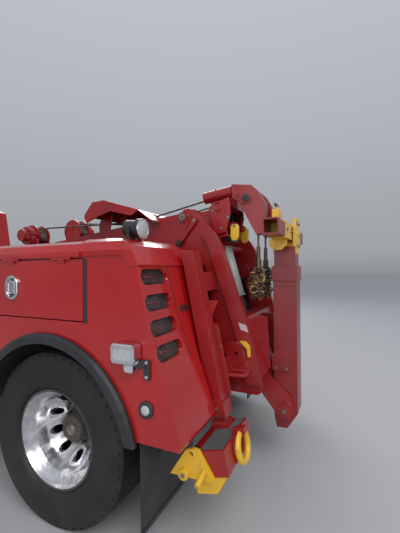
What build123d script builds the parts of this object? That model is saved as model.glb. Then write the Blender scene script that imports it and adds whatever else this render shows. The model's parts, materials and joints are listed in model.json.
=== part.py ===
from build123d import *
import math
import os

# Tow truck with a recovery boom and a folded underlift.
# Millimetres. +X forward, +Y left, +Z up. Stations x are measured from the rear axle.

# main sizes
wheelbase = 5400.0
front_overhang = 950.0
rear_overhang = 1267.0
body_half = 1235.0
roof_z = 1700.0
body_front_x = wheelbase - 2000.0
body_floor_z = 655.0
deck_z = 1190.0
wall = 30.0
door_gap = 7.0

# wheels
tyre_radius = 520.0
tyre_width = 280.0
rim_radius = 286.0
rim_lip_radius = 299.0
rim_half = 112.0
front_track_half = 1015.0
twin_outer_y = body_half - 155.0
twin_inner_y = twin_outer_y - 328.0
arch_radius = 602.0
flare_width = 46.0
hub_radius = 110.0
hub_reach = 95.0
hand_hole_ring = 196.0
hand_hole_radius = 27.0
front_spindle = 40.0
front_spindle_radius = 38.0

# frame
rail_outer_y = 430.0
rail_height = 260.0
rail_top_z = 985.0
rail_flange = 85.0
rail_plate = 12.0
axle_tube_radius = 75.0
spindle_radius = 48.0
kingpin_y = 860.0
kingpin_radius = 22.0
bore_clearance = 0.05
seat_gap = 0.3
hinge_radius = 7.0
hinge_pin_radius = 3.5

# cab
cab_back_x = wheelbase - 1840.0
cab_front_x = wheelbase - 440.0
cab_floor_z = 985.0
cab_roof_z = 2560.0
cab_half = 1030.0
cab_wall = 45.0
bonnet_front_x = wheelbase + 825.0
bonnet_gap = 12.0

# boom
boom_angle = 7.0
boom_width = 360.0
boom_height = 280.0
boom_wall = 14.0
boom_reach = 2330.0
tip_out = 270.0
boom_pin_radius = 40.0
sheave_x = -900.0
sheave_z = 2078.0
sheave_ahead = 188.6
sheave_rise = 146.3
lift_pin_reach = 1480.0
lift_pin_drop = 62.0
lift_base_back = 720.0
lift_base_drop = 553.0
lift_y = 105.0
barrel_radius = 62.0
lift_rod_radius = 38.0
rope_radius = 8.0
head_y = 118.0
head_half = 44.0
head_plate = 16.0
sheave_radius = 85.0
groove = 14.0
hood_plate = 14.0
guide_radius = 48.0
guide_bore = 30.0

# tower
tower_y = 455.0
tower_plate = 25.0
beam_depth = 100.0
beam_rise = 30.0
incline = 15.6

# stabiliser legs
leg_y = 740.0
leg_lean = 11.3
leg_side = 100.0
leg_depth = 86.0
leg_wall = 9.0
leg_fit = 0.5
foot_y0 = 660.0
foot_y1 = body_half - 175.0
foot_top_z = 590.0

# underlift
arm_x = -1171.5
arm_half_depth = 87.5
arm_half_width = 95.0
arm_top_z = 1434.0
arm_wall = 8.0
arm_pin_z = 470.0
arm_pin_radius = 36.0
collar_top_z = 1549.0
collar_wall = 8.0
slide_gap = 0.5
stage_top_z = 1700.0
crossbar_z = 1800.0
crossbar_half = 560.0
crossbar_side = 108.0
crossbar_wall = 12.0
swivel_pin_radius = 24.0
fork_gap = 7.0
fork_plate = 26.0
lug_gap = 5.5
lug_plate = 25.0

# the head hangs just ahead of the folded underlift, so the boom's length sets its pivot
boom_turn = math.radians(boom_angle)
tip_reach = boom_reach + tip_out
head_reach = tip_reach + sheave_ahead
boom_pivot_x = sheave_x + head_reach * math.cos(boom_turn) - sheave_rise * math.sin(boom_turn)
boom_pivot_z = sheave_z - head_reach * math.sin(boom_turn) - sheave_rise * math.cos(boom_turn)
lift_base_x = boom_pivot_x - lift_base_back
lift_base_z = boom_pivot_z - lift_base_drop

os.makedirs("parts", exist_ok=True)
origin_shift = (rear_overhang - wheelbase - front_overhang) / 2
nodes = {}


def block(x0, x1, y0, y1, z0, z1):
    """Box between two corners."""
    return Pos((x0 + x1) / 2, (y0 + y1) / 2, (z0 + z1) / 2) * Box(x1 - x0, y1 - y0, z1 - z0)


def side_plate(points, y0, y1):
    """Outline in x and z, as thick as y0 to y1."""
    face = Plane.XZ.offset(-y1) * make_face(Polyline(*points, close=True))
    return extrude(face, y1 - y0)


def cross_plate(points, x0, x1):
    """Outline in y and z, as thick as x0 to x1."""
    face = Plane.YZ.offset(x0) * make_face(Polyline(*points, close=True))
    return extrude(face, x1 - x0)


def flat_plate(points, z0, z1):
    """Outline in x and y, as thick as z0 to z1."""
    face = Plane.XY.offset(z0) * make_face(Polyline(*points, close=True))
    return extrude(face, z1 - z0)


def rounded_side_plate(points, radius, y0, y1):
    face = make_face(Polyline(*points, close=True))
    return extrude(Plane.XZ.offset(-y1) * fillet(face.vertices(), radius), y1 - y0)


def rod(start, end, radius):
    """Round bar between two points."""
    axis = Vector(*end) - Vector(*start)
    return extrude(Plane(origin=start, z_dir=axis) * Circle(radius), axis.length)


def mirror_y(shape):
    return mirror(shape, about=Plane.XZ)


def both(shape):
    return Compound(children=list(shape.solids()) + list(mirror_y(shape).solids()))


def turned(points, y=0.0, x=0.0, z=0.0):
    """Solid of revolution about a line along y, from (y, radius) points."""
    face = Plane.YZ * make_face(Polyline(*points, close=True))
    return Pos(x, y, z) * revolve(face, axis=Axis.Y)


def keep(name, shape):
    nodes[name] = shape


# wheels
def tyre():
    half = tyre_width / 2
    bead = rim_half - 24
    outer = [(bead, rim_radius + 0.5), (bead, rim_lip_radius + 1), (rim_half + 12, rim_lip_radius + 12),
             (half, rim_radius + 74), (half, tyre_radius - 96), (half * 0.88, tyre_radius - 22),
             (half * 0.80, tyre_radius)]
    inner = [(-y, r) for y, r in outer[::-1]]
    return turned(outer + inner, z=tyre_radius)


def rim(disc, seat):
    """Drop-centre rim with a coned disc from the hub face at disc to the well at seat."""
    half = rim_half
    lip = rim_lip_radius
    points = [(-half, lip), (-half + 14, lip), (-half + 22, rim_radius), (-half + 60, rim_radius - 6),
              (-half + 80, rim_radius - 34), (half - 80, rim_radius - 34), (half - 60, rim_radius - 6),
              (half - 22, rim_radius), (half - 14, lip), (half, lip), (half, lip - 14),
              (half - 30, rim_radius - 14), (half - 72, rim_radius - 48),
              (-half + 72, rim_radius - 48), (-half + 30, rim_radius - 14), (-half, lip - 14)]
    web = [(disc - 12, hub_radius), (disc + 12, hub_radius), (disc + 12, 150), (seat + 13, rim_radius - 44),
           (seat - 13, rim_radius - 44), (disc - 12, 150)]
    plate = turned(web)
    middle = (disc + seat) / 2
    for step in range(10):
        angle = math.radians(18 + 36 * step)
        x, z = hand_hole_ring * math.cos(angle), hand_hole_ring * math.sin(angle)
        plate -= rod((x, middle - 110, z), (x, middle + 110, z), hand_hole_radius)
    return Pos(0, 0, tyre_radius) * (turned(points) + plate)


for side, sign in (("left", 1), ("right", -1)):
    place = Pos(wheelbase, sign * front_track_half, 0)
    keep("tyre_front_" + side, place * tyre())
    bore = front_spindle_radius + bore_clearance
    hub = turned([(front_spindle + 4, 0), (hub_reach + 52, 0), (hub_reach + 52, 52), (hub_reach + 38, 62),
                  (hub_reach - 6, 78), (hub_reach - 6, hub_radius), (-30, hub_radius), (-30, bore),
                  (front_spindle + 4, bore)], z=tyre_radius)
    wheel_front = rim(hub_reach - 20, 28) + hub
    keep("rim_front_" + side, place * (wheel_front if sign > 0 else mirror_y(wheel_front)))

    seat_y = (twin_outer_y + twin_inner_y) / 2
    dish = (twin_outer_y - twin_inner_y) / 2
    outer_rim = Pos(0, twin_outer_y, 0) * rim(-dish + 12, -24)
    inner_rim = Pos(0, twin_inner_y, 0) * rim(dish - 12, 24)
    bore = spindle_radius + bore_clearance
    hub = turned([(-130, bore), (46, bore), (46, 0), (150, 0), (150, 70), (136, 84), (44, 92),
                  (26, hub_radius),
                  (26, 140), (12, 140), (12, hub_radius), (-130, hub_radius)], y=seat_y, z=tyre_radius)
    twin = outer_rim + inner_rim + hub
    keep("rims_rear_" + side, twin if sign > 0 else mirror_y(twin))
    pair = [(Pos(0, sign * y, 0) * tyre()).solid() for y in (twin_outer_y, twin_inner_y)]
    keep("tyres_rear_" + side, Compound(children=pair))

# frame rails, cross members, subframe, tanks and steps
rail_rear_x = -690.0
rail_front_x = wheelbase + 760.0
rail_in_y = rail_outer_y - rail_flange
channel = [(rail_outer_y, rail_top_z), (rail_in_y, rail_top_z), (rail_in_y, rail_top_z - rail_plate),
           (rail_outer_y - rail_plate, rail_top_z - rail_plate),
           (rail_outer_y - rail_plate, rail_top_z - rail_height + rail_plate),
           (rail_in_y, rail_top_z - rail_height + rail_plate), (rail_in_y, rail_top_z - rail_height),
           (rail_outer_y, rail_top_z - rail_height)]
rails = cross_plate(channel, rail_rear_x, rail_front_x)
rails = rails + mirror_y(rails)
member_half = rail_outer_y - rail_plate + 2
for member_x in (-600, 700, 2300, wheelbase - 1600, wheelbase + 650):
    rails += block(member_x - 60, member_x + 60, -member_half, member_half,
                   rail_top_z - rail_height + 40, rail_top_z - 30)
hinge_x, hinge_z = bonnet_front_x - 20, 790.0
hinge_lug = [(rail_front_x - 60, rail_top_z - rail_height + 6), (hinge_x + 10, hinge_z - 26),
             (hinge_x + 26, hinge_z), (hinge_x, hinge_z + 27), (rail_front_x - 60, hinge_z + 60)]
bonnet_lug_y = rail_outer_y + 16
for sign in (1, -1):
    y0, y1 = sorted((sign * (rail_outer_y - rail_plate), sign * rail_outer_y))
    rails += side_plate(hinge_lug, y0, y1)
    rails += rod((hinge_x, sign * (rail_outer_y - 2), hinge_z), (hinge_x, sign * (bonnet_lug_y + 26),
        hinge_z), 12)
keep("frame_rails", rails)

engine_x0, engine_x1 = wheelbase - 390, wheelbase + 530
gearbox_back_x = engine_x0 - 680
engine = block(engine_x0, engine_x1, -330, 330, 700, 1500)
engine = chamfer(engine.edges().filter_by(Axis.X).group_by(Axis.Z)[-1], 120)
engine += block(gearbox_back_x, engine_x0, -220, 220, 640, 960)
for foot_x in (engine_x0 + 190, engine_x1 - 170):
    engine += block(foot_x, foot_x + 90, -rail_outer_y + 10, rail_outer_y - 10, rail_top_z, rail_top_z + 25)
keep("engine_block", engine)

# front axle: beam, springs and kingpins; the knuckles turn on the kingpins
beam_z = tyre_radius - 20
beam_end = 26.0
spring_y = rail_outer_y - rail_flange / 2


def leaf_spring(x_mid, half_length, z_top, leaves, y):
    bows = []
    for leaf in range(leaves):
        reach = half_length - leaf * half_length / (leaves + 1)
        sag = 0.10 * reach * reach / half_length
        z_low = z_top - leaf * 14
        outline = [(x_mid - reach, z_low + sag), (x_mid, z_low), (x_mid + reach, z_low + sag),
                   (x_mid + reach, z_low + sag - 14), (x_mid, z_low - 14), (x_mid - reach, z_low + sag - 14)]
        bows.append(side_plate(outline, y - 40, y + 40))
    stack = bows[0]
    for bow in bows[1:]:
        stack += bow
    return stack


beam = block(wheelbase - 45, wheelbase + 45, -640, 640, beam_z - 160, beam_z - 60)
for sign in (1, -1):
    beam += cross_plate([(sign * 600, beam_z - 160), (sign * (kingpin_y - 60), beam_z - 50),
                         (sign * (kingpin_y + beam_end), beam_z - 50), (sign * (kingpin_y + beam_end),
                             beam_z + 50),
                         (sign * (kingpin_y - 80), beam_z + 50), (sign * 600, beam_z - 60)],
                        wheelbase - 45, wheelbase + 45)
for sign in (1, -1):
    beam += rod((wheelbase, sign * kingpin_y, beam_z - 120), (wheelbase, sign * kingpin_y, beam_z + 120),
                kingpin_radius)
    spring = leaf_spring(wheelbase, 640, beam_z + 45, 4, sign * spring_y)
    pad = block(wheelbase - 70, wheelbase + 70, sign * spring_y - 40, sign * spring_y + 40, beam_z - 70,
                beam_z)
    beam += spring + pad
    for hanger_x in (-625, 625):
        z_eye = beam_z + 45 + 64
        beam += side_plate([(wheelbase + hanger_x - 40, rail_top_z - rail_height),
                            (wheelbase + hanger_x + 40, rail_top_z - rail_height),
                            (wheelbase + hanger_x + 25, z_eye - 24),
                            (wheelbase + hanger_x - 25, z_eye - 24)],
                           sign * spring_y - 40, sign * spring_y + 40)
keep("front_axle", beam)

for side, sign in (("left", 1), ("right", -1)):
    fork_y = kingpin_y + 62
    fork = block(wheelbase - 50, wheelbase + 50, fork_y - 5, fork_y + 45, beam_z - 105, beam_z + 105)
    for z0 in (beam_z - 105, beam_z + 57):
        fork += block(wheelbase - 50, wheelbase + 50, kingpin_y - 50, fork_y + 10, z0, z0 + 48)
    fork -= rod((wheelbase, kingpin_y, beam_z - 200), (wheelbase, kingpin_y, beam_z + 200),
                kingpin_radius + bore_clearance)
    spindle = rod((wheelbase, fork_y, tyre_radius), (wheelbase, front_track_half + front_spindle,
                                                     tyre_radius),
                  front_spindle_radius)
    drum = Pos(wheelbase, 0, 0) * turned([(fork_y + 30, 0), (front_track_half - 36, 0),
                                          (front_track_half - 36, 150), (fork_y + 30, 150)], z=tyre_radius)
    arm = block(wheelbase - 240, wheelbase - 42, kingpin_y - 30, kingpin_y + 20, beam_z - 105, beam_z - 75)
    knuckle = fork + spindle + drum + arm
    if sign < 0:
        knuckle = mirror_y(knuckle)
    keep("knuckle_" + side, knuckle)

rear_z = tyre_radius
housing = rod((0, 192 - twin_inner_y, rear_z), (0, twin_inner_y - 192, rear_z), axle_tube_radius)
housing += Pos(0, 0, rear_z) * Sphere(185)
housing += rod((0, 0, rear_z), (330, 0, rear_z + 20), 85)
housing += rod((320, 0, rear_z + 20), (gearbox_back_x - 4, 0, 742), 45)
drum_y = twin_inner_y - 192
for sign in (1, -1):
    housing += rod((0, sign * (drum_y - 10), rear_z), (0, sign * (drum_y + 395), rear_z), spindle_radius)
    housing += Pos(0, sign * drum_y, rear_z) * turned([(-10, 0), (40, 0), (40, 190), (-10, 190)])
    spring = leaf_spring(0, 660, rear_z + 125, 6, sign * spring_y)
    housing += spring
    housing += block(-80, 80, sign * spring_y - 40, sign * spring_y + 40, rear_z, rear_z + 100)
    for hanger_x in (-635, 635):
        z_eye = rear_z + 125 + 64
        housing += block(hanger_x - 35, hanger_x + 35, sign * spring_y - 40, sign * spring_y + 40,
                         min(z_eye - 30, rail_top_z - rail_height - 10), rail_top_z - rail_height)
keep("rear_axle", housing)

# bumper
bumper_x = wheelbase + front_overhang
bumper_outline = [(bumper_x - 330, 1180), (bumper_x - 80, 1150), (bumper_x, 900), (bumper_x, -900),
                  (bumper_x - 80, -1150), (bumper_x - 330, -1180), (bumper_x - 330, -1135),
                  (bumper_x - 120, -1105), (bumper_x - 50, -880), (bumper_x - 50, 880),
                  (bumper_x - 120, 1105), (bumper_x - 330, 1135)]
bumper = flat_plate(bumper_outline, 420, 740)
bumper -= block(bumper_x - 60, bumper_x + 10, -300, 300, 500, 640)
horn = block(rail_front_x - 120, bumper_x - 45, rail_outer_y, rail_outer_y + 14, 600, 735)
horn += block(rail_front_x - 120, rail_front_x + 10, rail_outer_y, rail_outer_y + 14, 600, 940)
keep("front_bumper", bumper + horn + mirror_y(horn))

# cab shell: side outline crossed with the front outline, hollowed by the same outlines set in
screen_foot = (cab_front_x - 60, 1640)
screen_top = (cab_front_x - 415, 2440)


def cab_outline(inset):
    return [(cab_back_x + inset, cab_floor_z + inset), (cab_front_x - inset, cab_floor_z + inset),
            (cab_front_x - inset, 1600), (screen_foot[0] - inset * 1.1, screen_foot[1]),
            (screen_top[0] - inset * 1.1, screen_top[1] - inset * 0.4),
            (screen_top[0] - 120, cab_roof_z - inset), (cab_back_x + 120, cab_roof_z - inset),
            (cab_back_x + inset, cab_roof_z - 90 - inset * 0.3)]


def cab_front_outline(inset):
    half = cab_half - inset
    top = cab_half - 110 - inset
    return [(-half, cab_floor_z + inset), (half, cab_floor_z + inset), (half, 1640),
            (top, cab_roof_z - 90 - inset * 0.5), (top - 110, cab_roof_z - inset),
            (-top + 110, cab_roof_z - inset), (-top, cab_roof_z - 90 - inset * 0.5), (-half, 1640)]


def cab_form(inset):
    long = side_plate(cab_outline(inset), -cab_half, cab_half)
    return long & cross_plate(cab_front_outline(inset), cab_back_x, cab_front_x)


door_front_x = cab_front_x - 130
door_back_x = cab_back_x + 280
door_top_x = screen_top[0] - 55
door_bottom_z = 1030.0
door_outline = [(door_back_x, door_bottom_z), (door_front_x, door_bottom_z), (door_front_x, 1625),
                (door_top_x, 2400), (door_back_x, 2400)]
window_outline = [(door_back_x + 90, 1690), (door_front_x - 110, 1690), (door_top_x - 28, 2300),
                  (door_back_x + 90, 2300)]
cab = cab_form(0) - cab_form(cab_wall)
door_cut = rounded_side_plate(door_outline, 40, 300, 1400)
cab -= door_cut + mirror_y(door_cut)
screen_low, screen_high = 1700.0, 2400.0
screen_cut = cross_plate([(-900, screen_low), (900, screen_low), (800, screen_high), (-800, screen_high)],
                         cab_front_x - 660, cab_front_x + 240)
cab -= screen_cut
back_cut = cross_plate([(-560, 1800), (560, 1800), (540, 2300), (-540, 2300)],
                       cab_back_x - 260, cab_back_x + 240)
cab -= back_cut
cab_hinge_x, cab_hinge_y = door_front_x + 6, cab_half + 14


def hinge_line(x, y, z0, z1, outer, inner):
    """One knuckle of an upright hinge, or its pin where inner is zero."""
    knuckle = rod((x, y, z0), (x, y, z1), outer)
    return knuckle - rod((x, y, z0 - 1), (x, y, z1 + 1), inner) if inner else knuckle


for z in (1180, 1500):
    leaf = hinge_line(cab_hinge_x, cab_hinge_y, z - 60, z + 60, hinge_pin_radius, 0)
    for z0 in (z - 60, z + 25):
        leaf += block(cab_hinge_x, cab_hinge_x + 44, cab_half - 2, cab_half + 8, z0, z0 + 35)
        leaf += hinge_line(cab_hinge_x, cab_hinge_y, z0, z0 + 35, 12, 0)
    cab += leaf + mirror_y(leaf)
keep("cab_shell", cab)

glass_thick = 8.0
glass_in = 14.0


def cab_skin(inset, thick):
    return cab_form(inset) - cab_form(inset + thick)


glass = (cab_skin(glass_in, glass_thick) & screen_cut) + (cab_skin(glass_in, glass_thick) & back_cut)
keep("cab_glass", glass)

seats = None
for sign in (1, -1):
    seat = rounded_side_plate([(320, 1330), (770, 1350), (770, 1460), (450, 1440), (370, 2050), (250, 2040),
                               (280, 1400)], 30, sign * 520 - 250, sign * 520 + 250)
    base = block(340, 720, sign * 520 - 190, sign * 520 + 190, cab_floor_z + cab_wall, 1345)
    placed = Pos(cab_back_x, 0, 0) * (seat + base)
    seats = placed if seats is None else seats + placed
dash = rounded_side_plate([(-320, 1320), (-120, 1320), (-120, 1610), (-260, 1620), (-340, 1520)], 25, -940,
                          940)
dash += block(-260, -120, -940, 940, cab_floor_z + cab_wall, 1330)
dash = Pos(cab_front_x, 0, 0) * dash
column_x = cab_front_x - 470
wheel_plane = Plane(origin=(column_x + 10, 520, 1560), x_dir=(0, 1, 0), z_dir=(-0.80, 0, 0.60))
steering = wheel_plane * Torus(215, 15)
steering += wheel_plane * Box(426, 40, 14)
steering += wheel_plane * Box(40, 426, 14)
steering += rod((column_x, 520, 1567.5), (column_x + 160, 520, 1447.5), 28)
keep("cab_interior", seats + dash + steering)


def door(sign):
    skin = cab_form(0) - cab_form(cab_wall)
    edge = [(door_back_x + door_gap, door_bottom_z + door_gap), (door_front_x - door_gap,
        door_bottom_z + door_gap),
            (door_front_x - door_gap, 1623), (door_top_x - door_gap, 2400 - door_gap),
            (door_back_x + door_gap, 2400 - door_gap)]
    leaf = skin & rounded_side_plate(edge, 36, 300, 1400)
    leaf = leaf - rounded_side_plate(window_outline, 30, 300, 1400)
    pane_form = cab_skin(glass_in, glass_thick) & rounded_side_plate(window_outline, 30, 300, 1400)
    mirror_x, mirror_y_mid = door_front_x + 20, cab_half + 165
    arm = rod((door_front_x - 105, cab_half - 20, 1745), (mirror_x, mirror_y_mid, 1800), 11)
    arm += rod((door_front_x - 290, cab_half - 75, 2180), (mirror_x, mirror_y_mid, 2180), 11)
    head = block(mirror_x - 35, mirror_x + 35, mirror_y_mid - 75, mirror_y_mid + 105, 1770, 2210)
    head = fillet(head.edges().filter_by(Axis.X), 40)
    handle = block(door_back_x + 90, door_back_x + 250, cab_half - 5, cab_half + 22, 1540, 1570)
    leaf = leaf + arm + head + handle
    for z in (1180, 1500):
        z0, z1 = z - 25 + seat_gap, z + 25 - seat_gap
        knuckle = block(cab_hinge_x - 44, cab_hinge_x - 14, cab_half - 2, cab_half + 8, z0, z1)
        knuckle += block(cab_hinge_x - 16, cab_hinge_x, cab_half + 1, cab_half + 8, z0, z1)
        knuckle += hinge_line(cab_hinge_x, cab_hinge_y, z - 25 + seat_gap, z + 25 - seat_gap, 12, 0)
        leaf += knuckle - hinge_line(cab_hinge_x, cab_hinge_y, z - 30, z + 30,
                                     hinge_pin_radius + bore_clearance, 0)
    if sign < 0:
        leaf = mirror_y(leaf)
        pane_form = mirror_y(pane_form)
    return leaf, pane_form


for side, sign in (("left", 1), ("right", -1)):
    leaf, pane = door(sign)
    keep("cab_door_" + side, leaf)
    keep("door_glass_" + side, pane)

# bonnet with wings and arches, hinged at its front foot
bonnet_back_x = cab_front_x + bonnet_gap
wing_half = 1185.0
front_arch_radius = 640.0


def hood_form(inset):
    nose = bonnet_front_x - inset
    shoulder_x = wheelbase - 100
    top = side_plate([(bonnet_back_x - 30, 700), (bonnet_back_x - 30, 1640 - inset),
                      (shoulder_x, 1660 - inset),
                      (wheelbase + 500, 1590 - inset), (nose - 105, 1530 - inset), (nose - 25, 1440 - inset),
                      (nose, 1000), (nose, 700)], -1200, 1200)
    half_plan = [(bonnet_back_x - 31, 880 - inset), (shoulder_x, 800 - inset), (bonnet_front_x, 620 - inset)]
    plan = flat_plate(half_plan + [(x, -y) for x, y in half_plan[::-1]], 650, 1700)
    return top & plan


def wing_form(inset, sign):
    nose = bonnet_front_x - 25 - inset
    outline = [(bonnet_back_x - 30, 1290 - inset), (wheelbase - 350, 1345 - inset), (wheelbase + 350,
        1345 - inset),
               (nose - 140, 1230 - inset), (nose, 1020), (nose, 700), (bonnet_back_x - 30, 700)]
    wing = side_plate(outline, 300, wing_half - inset)
    return wing if sign > 0 else mirror_y(wing)


skin = 22.0
outer_form = hood_form(0) + wing_form(0, 1) + wing_form(0, -1)
inner_form = hood_form(skin) + wing_form(skin, 1) + wing_form(skin, -1)
bonnet = outer_form - inner_form
bonnet -= rod((wheelbase, -1300, tyre_radius), (wheelbase, 1300, tyre_radius), front_arch_radius)
bonnet -= block(bonnet_back_x - 900, bonnet_back_x, -1300, 1300, 600, 1800)
bonnet -= block(bonnet_back_x - 900, bonnet_front_x + 700, -1300, 1300, 600, 800)
bonnet -= block(wheelbase, bonnet_front_x + 700, -bonnet_lug_y - 40, bonnet_lug_y + 40, 600, 860)
grille_half, grille_low, grille_high = 480.0, 900.0, 1390.0
nose_x0, nose_x1 = bonnet_front_x - 125, bonnet_front_x + 175
bonnet -= block(nose_x0, nose_x1, -grille_half, grille_half, grille_low, grille_high)
for sign in (1, -1):
    bonnet -= block(nose_x0, nose_x1, sign * 880 - 170, sign * 880 + 170, 930, 1130)
for sign in (1, -1):
    y0, y1 = sorted((sign * bonnet_lug_y, sign * (bonnet_lug_y + 16)))
    lug = side_plate([(hinge_x - 26, hinge_z - 26), (hinge_x + 14, hinge_z - 26), (hinge_x + 14, 890),
                      (hinge_x - 26, 890)], y0, y1)
    bonnet += lug - rod((hinge_x, y0 - 1, hinge_z), (hinge_x, y1 + 1, hinge_z), 12 + bore_clearance)
keep("bonnet", bonnet)

grille = block(bonnet_front_x - 36, bonnet_front_x - 4, -grille_half + seat_gap, grille_half - seat_gap,
               grille_low + seat_gap, grille_high - seat_gap)
grille -= block(bonnet_front_x - 50, bonnet_front_x + 10, -grille_half + 30, grille_half - 30,
                grille_low + 30, grille_high - 30)
for k in range(7):
    z_bar = grille_low + 66 + k * 60
    grille += block(bonnet_front_x - 34, bonnet_front_x - 6, -grille_half + 20, grille_half - 20, z_bar,
                    z_bar + 26)
keep("grille", grille)

lamp = block(bonnet_front_x - 105, bonnet_front_x - 27, 880 - 170 + seat_gap, 880 + 170 - seat_gap,
             930 + seat_gap, 1130 - seat_gap)
lamp = fillet(lamp.edges().filter_by(Axis.X), 30)
keep("headlamps", both(lamp))

# tanks and steps under the cab and body front
tank_x0, tank_x1 = cab_back_x - 60, cab_front_x - 260
tank_end = [(tank_x0, 560), (tank_x0, 930), (tank_x1, 930), (tank_x1, 560)]
tank = extrude(Plane.XZ.offset(-1130) * fillet(make_face(Polyline(*tank_end, close=True)).vertices(), 60),
               560)
tank = fillet(tank.edges().filter_by(Axis.X).group_by(Axis.Y)[-1], 90)
tank += block(tank_x0 + 200, tank_x1 - 50, 1040, 1150, 926, 950)
straps = block(tank_x0 + 220, tank_x0 + 290, rail_outer_y, 600, 740, 900)
straps += block(tank_x1 - 300, tank_x1 - 230, rail_outer_y, 600, 740, 900)
tank_side = tank + straps
keep("side_tanks", tank_side + mirror_y(tank_side))

# roof light bar
bar = fillet(block(cab_back_x + 450, cab_back_x + 740, -720, 720, cab_roof_z + 25,
                   cab_roof_z + 150).edges().filter_by(Axis.Z), 60)
for sign in (1, -1):
    bar += block(cab_back_x + 530, cab_back_x + 660, sign * 560 - 50, sign * 560 + 50, cab_roof_z,
                 cab_roof_z + 30)
keep("light_bar", bar)

lean = math.tan(math.radians(leg_lean))
leg_foot_x, leg_foot_z = -900.0, 640.0


def leg_x(z):
    """Middle of a stabiliser leg at a height."""
    return leg_foot_x + (z - leg_foot_z) * lean


# tool body: each side crosses a side outline with a rounded section; the deck stands between them
side_inner_y = body_half - 635.0
section_round = 62.0
beyond = body_half + 65
rear_line = [(-520, roof_z - 6), (-602, 1655), (-650, 1560), (-664, 1483), (-703, 1285), (-760, 1090),
             (-893, 690), (-880, 662)]
body_outline = [(body_front_x, body_floor_z), (body_front_x, roof_z), (-460, roof_z)] + rear_line
arch = rod((0, side_inner_y - 20, tyre_radius), (0, beyond, tyre_radius), arch_radius)
section = Plane.YZ.offset(-1000) * make_face(Polyline(
    (side_inner_y, 500), (side_inner_y, roof_z), (body_half - section_round, roof_z),
    (body_half - 18, roof_z - 18), (body_half, roof_z - section_round), (body_half, 500), close=True))
side = side_plate(body_outline, side_inner_y, body_half + 40) & extrude(section, 4500)
side -= arch

# each store is cut behind its door: name, back edge, front edge, lower edge
door_top_z = 1602.0
door_sill = 25.0
door_thick = 28.0
store_depth = 600.0
store_table = [("upper", -285.0, 905.0, 1245.0), ("tall", 1010.0, 2130.0, 740.0),
               ("front", 2230.0, 3340.0, 740.0)]
for name, x0, x1, z0 in store_table:
    side -= block(x0 + 30, x1 - 30, body_half - store_depth, beyond, z0 + door_sill, door_top_z - door_sill)
    side -= block(x0, x1, body_half - door_thick - 4, beyond, z0, door_top_z)
pocket_z = [1497, 1362, 1233, 1108]
pocket_depth = 26.0
pocket_y = body_half - 139


def rear_x(z):
    """Station of the body's rear face at a height."""
    points = [(p[1], p[0]) for p in rear_line][::-1]
    for (z0, x0), (z1, x1) in zip(points, points[1:]):
        if z0 <= z <= z1:
            return x0 + (x1 - x0) * (z - z0) / (z1 - z0)
    return points[-1][1]


for z in pocket_z:
    face_plane = Plane(origin=(rear_x(z), pocket_y, z), x_dir=(0, -1, 0), z_dir=(-1, 0, 0.25))
    side -= extrude(face_plane * SlotOverall(258, 86), amount=pocket_depth, both=True)
deck_half = side_inner_y - seat_gap
deck = block(-50, body_front_x, -deck_half, deck_half, deck_z - 40, deck_z)
deck -= block(560, 1260, -230, 230, deck_z - 60, deck_z + 10)
sub = block(-50, body_front_x, rail_outer_y - 80, rail_outer_y, rail_top_z, deck_z - 39)
side += block(-264, body_front_x, body_half - 2, body_half + 13, 1609, 1629)
notch_front = leg_depth / 2 + 17
notch = side_plate([(leg_x(600) + notch_front, 600), (leg_x(1760) + notch_front, 1760), (-1300, 1760),
                    (-1300, 600)],
                   side_inner_y - 10, leg_y + leg_side / 2 + 22)
side -= notch
hinge_y = body_half + hinge_radius + 1


def store_hinge(x0, x1, z0):
    """Stations along a store's hinge line and whether it runs along x."""
    if z0 > 1000:
        return [(Vector(x, hinge_y, door_top_z - 1), Vector(1, 0, 0)) for x in (x0 + 160, (x0 + x1) / 2,
            x1 - 160)]
    return [(Vector(x1 - 1, hinge_y, z), Vector(0, 0, 1)) for z in (z0 + 130, 1170, door_top_z - 130)]


def hinge_strap(middle, along, reach):
    """Flat strap from the hinge line into the skin; reach is its extent across the line."""
    if along.X:
        z0, z1 = sorted((middle.Z, middle.Z + reach))
        return block(middle.X - 25, middle.X + 25, body_half - 1, hinge_y, z0, z1)
    x0, x1 = sorted((middle.X, middle.X + reach))
    return block(x0, x1, body_half - 1, hinge_y, middle.Z - 25, middle.Z + 25)


for name, x0, x1, z0 in store_table:
    for middle, along in store_hinge(x0, x1, z0):
        side += rod(middle - along * 76, middle + along * 76, hinge_pin_radius)
        for end in (-1, 1):
            outer_third = middle + along * (51 * end)
            side += rod(outer_third - along * 25, outer_third + along * 25, hinge_radius)
            side += hinge_strap(outer_third, along, hinge_radius)
middle_part = deck + sub + mirror_y(sub)
middle_part += block(body_front_x - wall, body_front_x, -deck_half, deck_half, deck_z - 10, roof_z + 120)
keep("tool_body", Compound(children=[side.solid(), mirror_y(side).solid(), middle_part.solid()]))

# tool doors, flush in their openings, hinged outside the skin
for name, x0, x1, z0 in store_table:
    leaf = block(x0 + door_gap, x1 - door_gap, body_half - door_thick, body_half,
                 z0 + door_gap, door_top_z - door_gap)
    for middle, along in store_hinge(x0, x1, z0):
        leaf += rod(middle - along * 25, middle + along * 25, hinge_radius)
        leaf += hinge_strap(middle, along, -26)
        leaf -= rod(middle - along * 30, middle + along * 30, hinge_pin_radius + bore_clearance)
    keep(name + "_tool_door_left", leaf)
    keep(name + "_tool_door_right", mirror_y(leaf))

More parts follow.
